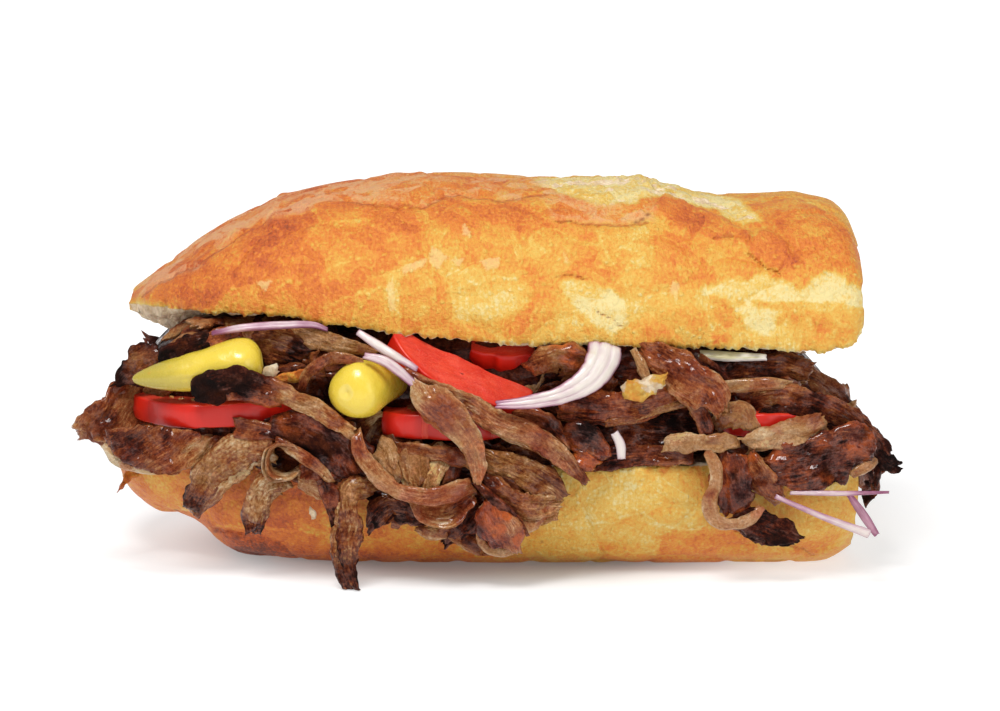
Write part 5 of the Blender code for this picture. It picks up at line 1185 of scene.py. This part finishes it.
def makeTomatoes():
    grain = np.linspace(0, 2 * np.pi, 7)[:-1]
    tear = [(-1.5, 0, 0)] + [(x, 0.75 * w * np.cos(a), 0.45 * w * np.sin(a)) for x, w in ((-0.9, 0.6), (0, 1.0), (0.9, 0.8)) for a in grain] + [(1.4, 0, 0)]
    faces = [(0, 1 + (k + 1) % 6, 1 + k) for k in range(6)]
    faces += [(1 + r * 6 + k, 1 + r * 6 + (k + 1) % 6, 7 + r * 6 + (k + 1) % 6, 7 + r * 6 + k) for r in (0, 1) for k in range(6)]
    faces += [(13 + k, 13 + (k + 1) % 6, 19) for k in range(6)]
    seedShape = meshFrom("seedShape", np.array(tear), faces)
    tree = seedTree(seedShape)
    seedMaterial = newMaterial("tomatoSeed", lambda graph: {"Base Color": graph.mix(
        graph.noise(graph.node("ShaderNodeTexCoord", output="Object"), 0.002), rgb(222, 170, 96), rgb(206, 128, 70))},
        Roughness=0.25, Coat_Weight=0.4)
    for k, node in enumerate(tomato["slices"]):
        points, faces, uv, layers = tomatoShape(node)
        finished(meshFrom(node.replace("_", ""), points, faces, uv, layers), node, tomatoMaterial)
        wet = [face for face in faces if len(face) == 4 and layers["gel"][face].min() > 0.6]
        if wet:
            seeds = meshFrom("seeds" + node[6:].title().replace("_", ""), points, wet)
            applied(seeds, tree, {"Seed": 2 + k, "Material": seedMaterial})
            if len(seeds.data.polygons):
                finished(seeds, node, seedMaterial)
            else:
                bpy.data.objects.remove(seeds)
    bpy.data.objects.remove(seedShape)


makeTomatoes()
print("tomatoes made")


# ---- peppers ----

peppers = {
    "profile": [(0, 0), (0.015, 0.15), (0.08, 0.33), (0.2, 0.54), (0.36, 0.72), (0.54, 0.83), (0.70, 0.97), (0.82, 1.03),
                (0.91, 0.93), (0.965, 0.66), (0.99, 0.34), (0.987, 0.16), (0.975, 0)],
    # blunt end, tip, largest radius, sideways bend
    "fruits": {"pepper_left": ((-64.5, -53, 66.2), (-102.5, -52.5, 60.8), 7.2, (0, 0, -0.3)),
               "pepper_middle": ((-39.8, -62.5, 59.4), (-22, -29, 57), 8.1, (0.5, 0, 0.4))},
}


def pepperLook(graph):
    place = graph.node("ShaderNodeTexCoord", output="Object")
    ripe, scar = graph.layer("ripe"), graph.layer("scar")
    mottle = graph.noise(place, 0.006, 3, 0.6)
    dull = graph.noise(place, 0.0016, 3, 0.7)
    skin = graph.mix((ripe + (mottle - 0.5) * 0.6).step(0.0, 1.0), rgb(176, 158, 60), rgb(226, 198, 66))
    skin = graph.mix(mottle.step(0.62, 0.8) * 0.5, skin, rgb(196, 120, 36))
    skin = graph.mix(scar * (0.1 + dull * 0.5), skin, rgb(234, 214, 128))
    return {"Base Color": skin, "Roughness": (0.2 + dull * 0.14 + scar * 0.2), "Bump": (dull * 0.5 + mottle, 0.25)}


pepperMaterial = newMaterial("pickledPepper", pepperLook, Specular_IOR_Level=0.5, Coat_Weight=0.3, Coat_Roughness=0.12,
                             Subsurface_Weight=0.12, Subsurface_Radius=(1.0, 0.8, 0.3), Subsurface_Scale=0.003)


def makePeppers():
    for seed, (node, (blunt, tip, radius, bend)) in enumerate(peppers["fruits"].items()):
        profile = curveThrough(peppers["profile"], 8)
        blunt, tip, bend = np.array(blunt), np.array(tip), np.array(bend)
        axis = blunt - tip
        along = axis / np.linalg.norm(axis)
        side = np.cross(along, (0, 0, 1))
        side /= np.linalg.norm(side)
        top = np.cross(side, along)
        angle = np.linspace(0, 2 * np.pi, 72, endpoint=False)
        share, wide = profile[:, :1], np.clip(profile[:, 1:], 0.004, None)
        lobes = 1 + 0.03 * np.cos(3 * angle + seed) * soft(share, 0.5, 0.9) + 0.05 * speckle(share * 5, angle[None] * 1.2, 60 + seed, 2)
        r = radius * 0.985 * wide * lobes
        centre = tip + axis * share[..., None] + bend * np.sin(share * np.pi * 1.6)[..., None] * 1.3
        points = centre + side * (r * np.cos(angle))[..., None] + top * (r * np.sin(angle))[..., None]
        order = np.arange(len(profile))[:, None]
        scar = np.where((order > len(profile) * 0.6) & (wide < 0.3), 1.0, 0.0) * np.ones_like(r)
        faces = rows(len(profile), len(angle), closed=True)[:, ::-1].tolist()
        faces += [list(range(len(angle))), [(len(profile) - 1) * len(angle) + k for k in range(len(angle))][::-1]]
        layers = {"ripe": (soft(share, 0.05, 0.7) * np.ones_like(r)).ravel(), "scar": scar.ravel()}
        finished(meshFrom(node.replace("_", ""), points.reshape(-1, 3), faces, None, layers), node, pepperMaterial)


makePeppers()
print("peppers made")


# ---- onion ----

onionSlice = {"spacing": 0.42, "thickness": 1.7, "ragged": 0.05, "fringe": 0.5, "wave": 0.25, "waveSize": 9, "curl": 25,
              "fibre": 0.07, "fibreWidth": 0.9, "rim": 0.4, "char": 0, "glaze": 0, "fold": 0, "crumple": 0,
              "hem": 0, "twist": 0, "slant": 0, "broad": 1}

# piece it stands for, how many layers, and stations: x, y, z, half width, roll, and how purple
onions = {
    # onionLeft: its darker purple-grey tone is partly its own lilac, partly painted shade under the bread's overhang
    "onionLeft": ("onion_strip_left", 2, [(-79, -52, 74.4, 0.8, 30, 0.45), (-69, -53, 76.4, 1.3, 30, 0.3), (-52, -51.5, 77, 1.1, 30, 0.25), (-46, -51, 75.4, 0.7, 30, 0.3)]),
    "onionInner": ("onion_strip_inner", 1, [(-37, -54, 75, 1.0, 20, 0.25), (-29.5, -57, 70.6, 1.5, 20, 0.2), (-20, -59.5, 65.2, 0.9, 20, 0.4)]),
    "onionOuter": ("onion_strip_outer", 2, [(-35, -59.5, 69.2, 1.0, 20, 0.05), (-28.5, -61, 67.6, 1.6, 20, 0.05), (-22, -62, 62.6, 1.3, 20, 0.15), (-18, -62, 58.5, 0.7, 20, 0.3)]),
    "onionArc": ("onion_arc", 3, [(3, -63.5, 55.6, 1.2, 10, 0.3), (12, -64, 56.4, 1.9, 10, 0.2), (22, -62, 58.2, 2.8, 0, 0.1), (29.5, -60, 62.0, 4.2, 0, 0.1), (33.5, -56, 67.0, 5.0, 0, 0.15), (34.5, -52, 71.2, 5.0, 0, 0.2)]),
    "onionMiddle": ("onion_sliver_middle", 1, [(-6.5, -60.4, 50.6, 1.2, 0, 0.3), (-3.8, -60.6, 43.6, 1.1, 0, 0.2)]),
    "onionRight": ("onion_sliver_right", 1, [(37, -57.6, 46, 1.2, 0, 0), (38.6, -58, 42.6, 1.5, 0, 0), (39, -58, 38.6, 1.2, 0, 0)]),
    # onionUnder: dulled to olive-cream, partly the onion's own greenish colour, partly painted shade under the bread
    "onionUnder": ("onion_slice_right", 2, [(56, -46, 67.6, 1.0, 40, -0.1), (68, -48.5, 67.2, 1.7, 40, -0.2), (81, -48.5, 66.8, 1.1, 40, -0.1)]),
    "onionLevel": ("onion_needle_level", 1, [(88, -57.5, 28.2, 0.6, 0, 0.2), (102, -59, 28.4, 0.8, 0, 0.3), (116, -59.5, 28.9, 0.4, 0, 0.7)]),
    "onionLong": ("onion_needle_long", 1, [(84, -57.2, 27, 0.7, 0, 0.3), (96, -61, 22.4, 0.9, 0, 0.3), (110.5, -61.5, 17.0, 1.4, 0, 0.1)]),
    "onionShort": ("onion_needle_short", 1, [(105, -54.5, 27.4, 0.8, 0, 0.6), (109.5, -56.5, 21.2, 1.3, 0, 0.5), (113.2, -58, 15.8, 0.9, 0, 0.6)]),
    "onionBack": ("onion_strip_back", 2, [(-44, 52.5, 60, 1.6, 180, 0.2), (-30, 56, 56.5, 2.2, 180, 0.2), (-14, 55, 55, 1.8, 180, 0.3)]),
}


def onionLook(graph):
    place = graph.node("ShaderNodeTexCoord", output="Object")
    uv = graph.node("ShaderNodeUVMap", {"uv_map": "along"})
    veins = graph.noise(graph.scaled(uv, (0.08, 1, 1)), 0.05, 3, 0.6)
    blotch = graph.noise(place, 0.005, 2)
    tone = graph.layer("tone") + 0.12 + (veins - 0.5) * 0.5 + (blotch - 0.5) * 0.4
    # the lowest stop, olive-cream, is partly onion colour and partly painted shade
    stops = [(0.0, rgb(190, 180, 136)), (0.2, rgb(224, 214, 202)), (0.45, rgb(212, 194, 192)), (0.72, rgb(176, 132, 150)), (1.0, rgb(128, 66, 98))]
    return {"Base Color": graph.node("ShaderNodeValToRGB", {"stops": stops}, {0: tone}),
            "Roughness": (0.2 + veins * 0.2), "Bump": (veins, 0.2)}


onionMaterial = newMaterial("redOnion", onionLook, Specular_IOR_Level=0.5, Coat_Weight=0.3, Coat_Roughness=0.1,
                            Subsurface_Weight=0.25, Subsurface_Radius=(1.0, 0.8, 0.8), Subsurface_Scale=0.004)


def makeOnions():
    for k, (name, (node, layers, stations)) in enumerate(onions.items()):
        look = {**onionSlice, "layers": layers, **({"rim": 0.1} if node == "onion_slice_right" else {})}
        finished(meshFrom(name, *sliceShell(stations, 3000 + 40 * k, **look)), node, onionMaterial)


makeOnions()
print("onions made")


# ---- floor, light and camera ----

studio = {"floor": 6.0, "world": 0.45, "key": 13.6, "fill": 3.0, "glow": 1.0}


def floorLook(graph):
    # the paper glows a little further out, so that it stays white there; close round the loaf it glows less, a painted
    # shadow on top of the real one
    place = graph.node("ShaderNodeTexCoord", output="Object")
    away = graph.node("ShaderNodeVectorMath", {"operation": "LENGTH"}, {0: graph.scaled(place, (0.65, 1.0, 1.0))}, output="Value")
    # dim glow next to the loaf: painted shadow round its foot
    glow = graph.mix(away.step(0.034, 0.07), (0.12, 0.11, 0.105), (0.6, 0.6, 0.6))
    return {"Emission Color": graph.mix(away.step(0.1, 0.4), glow, (0.8, 0.8, 0.8))}


def buildStudio():
    floor = bpy.data.objects.new("floor", bpy.data.meshes.new("floor"))
    side = studio["floor"]
    floor.data.from_pydata([(-side, -side, 0), (side, -side, 0), (side, side, 0), (-side, side, 0)], [], [(0, 1, 2, 3)])
    bpy.context.scene.collection.objects.link(floor)
    floor.data.materials.append(newMaterial("floorPaper", floorLook, Base_Color=(0.5, 0.5, 0.5, 1), Roughness=0.9,
                                            Specular_IOR_Level=0.0, Emission_Strength=studio["glow"]))
    world = bpy.data.worlds.new("studio")
    bpy.context.scene.world = world
    world.use_nodes = True
    world.node_tree.nodes["Background"].inputs[0].default_value = (1, 1, 1, 1)
    world.node_tree.nodes["Background"].inputs[1].default_value = studio["world"]
    for name, place, size, power in [("key", (-0.22, -0.66, 1.2), 0.45, studio["key"]), ("fill", (0.9, -1.0, 0.5), 0.8, studio["fill"])]:
        light = bpy.data.lights.new(name, "AREA")
        light.size, light.energy = size, power
        lamp = bpy.data.objects.new(name, light)
        bpy.context.scene.collection.objects.link(lamp)
        lamp.location = place
        lamp.rotation_euler = (Vector((0, 0, 0.05)) - lamp.location).to_track_quat("-Z", "Y").to_euler()
    camera = bpy.data.objects.new("camera", bpy.data.cameras.new("camera"))
    bpy.context.scene.collection.objects.link(camera)
    target = Vector((0.0039, 0, 0.0576))
    tilt = math.radians(11)
    camera.location = target + Vector((0, -math.cos(tilt), math.sin(tilt))) * 1.15
    camera.rotation_euler = (math.pi / 2 - tilt, 0, 0)
    camera.data.sensor_width, camera.data.lens = 36, 136.6
    bpy.context.scene.camera = camera
    bpy.context.scene.view_settings.view_transform = "Standard"


buildStudio()
print("studio made")
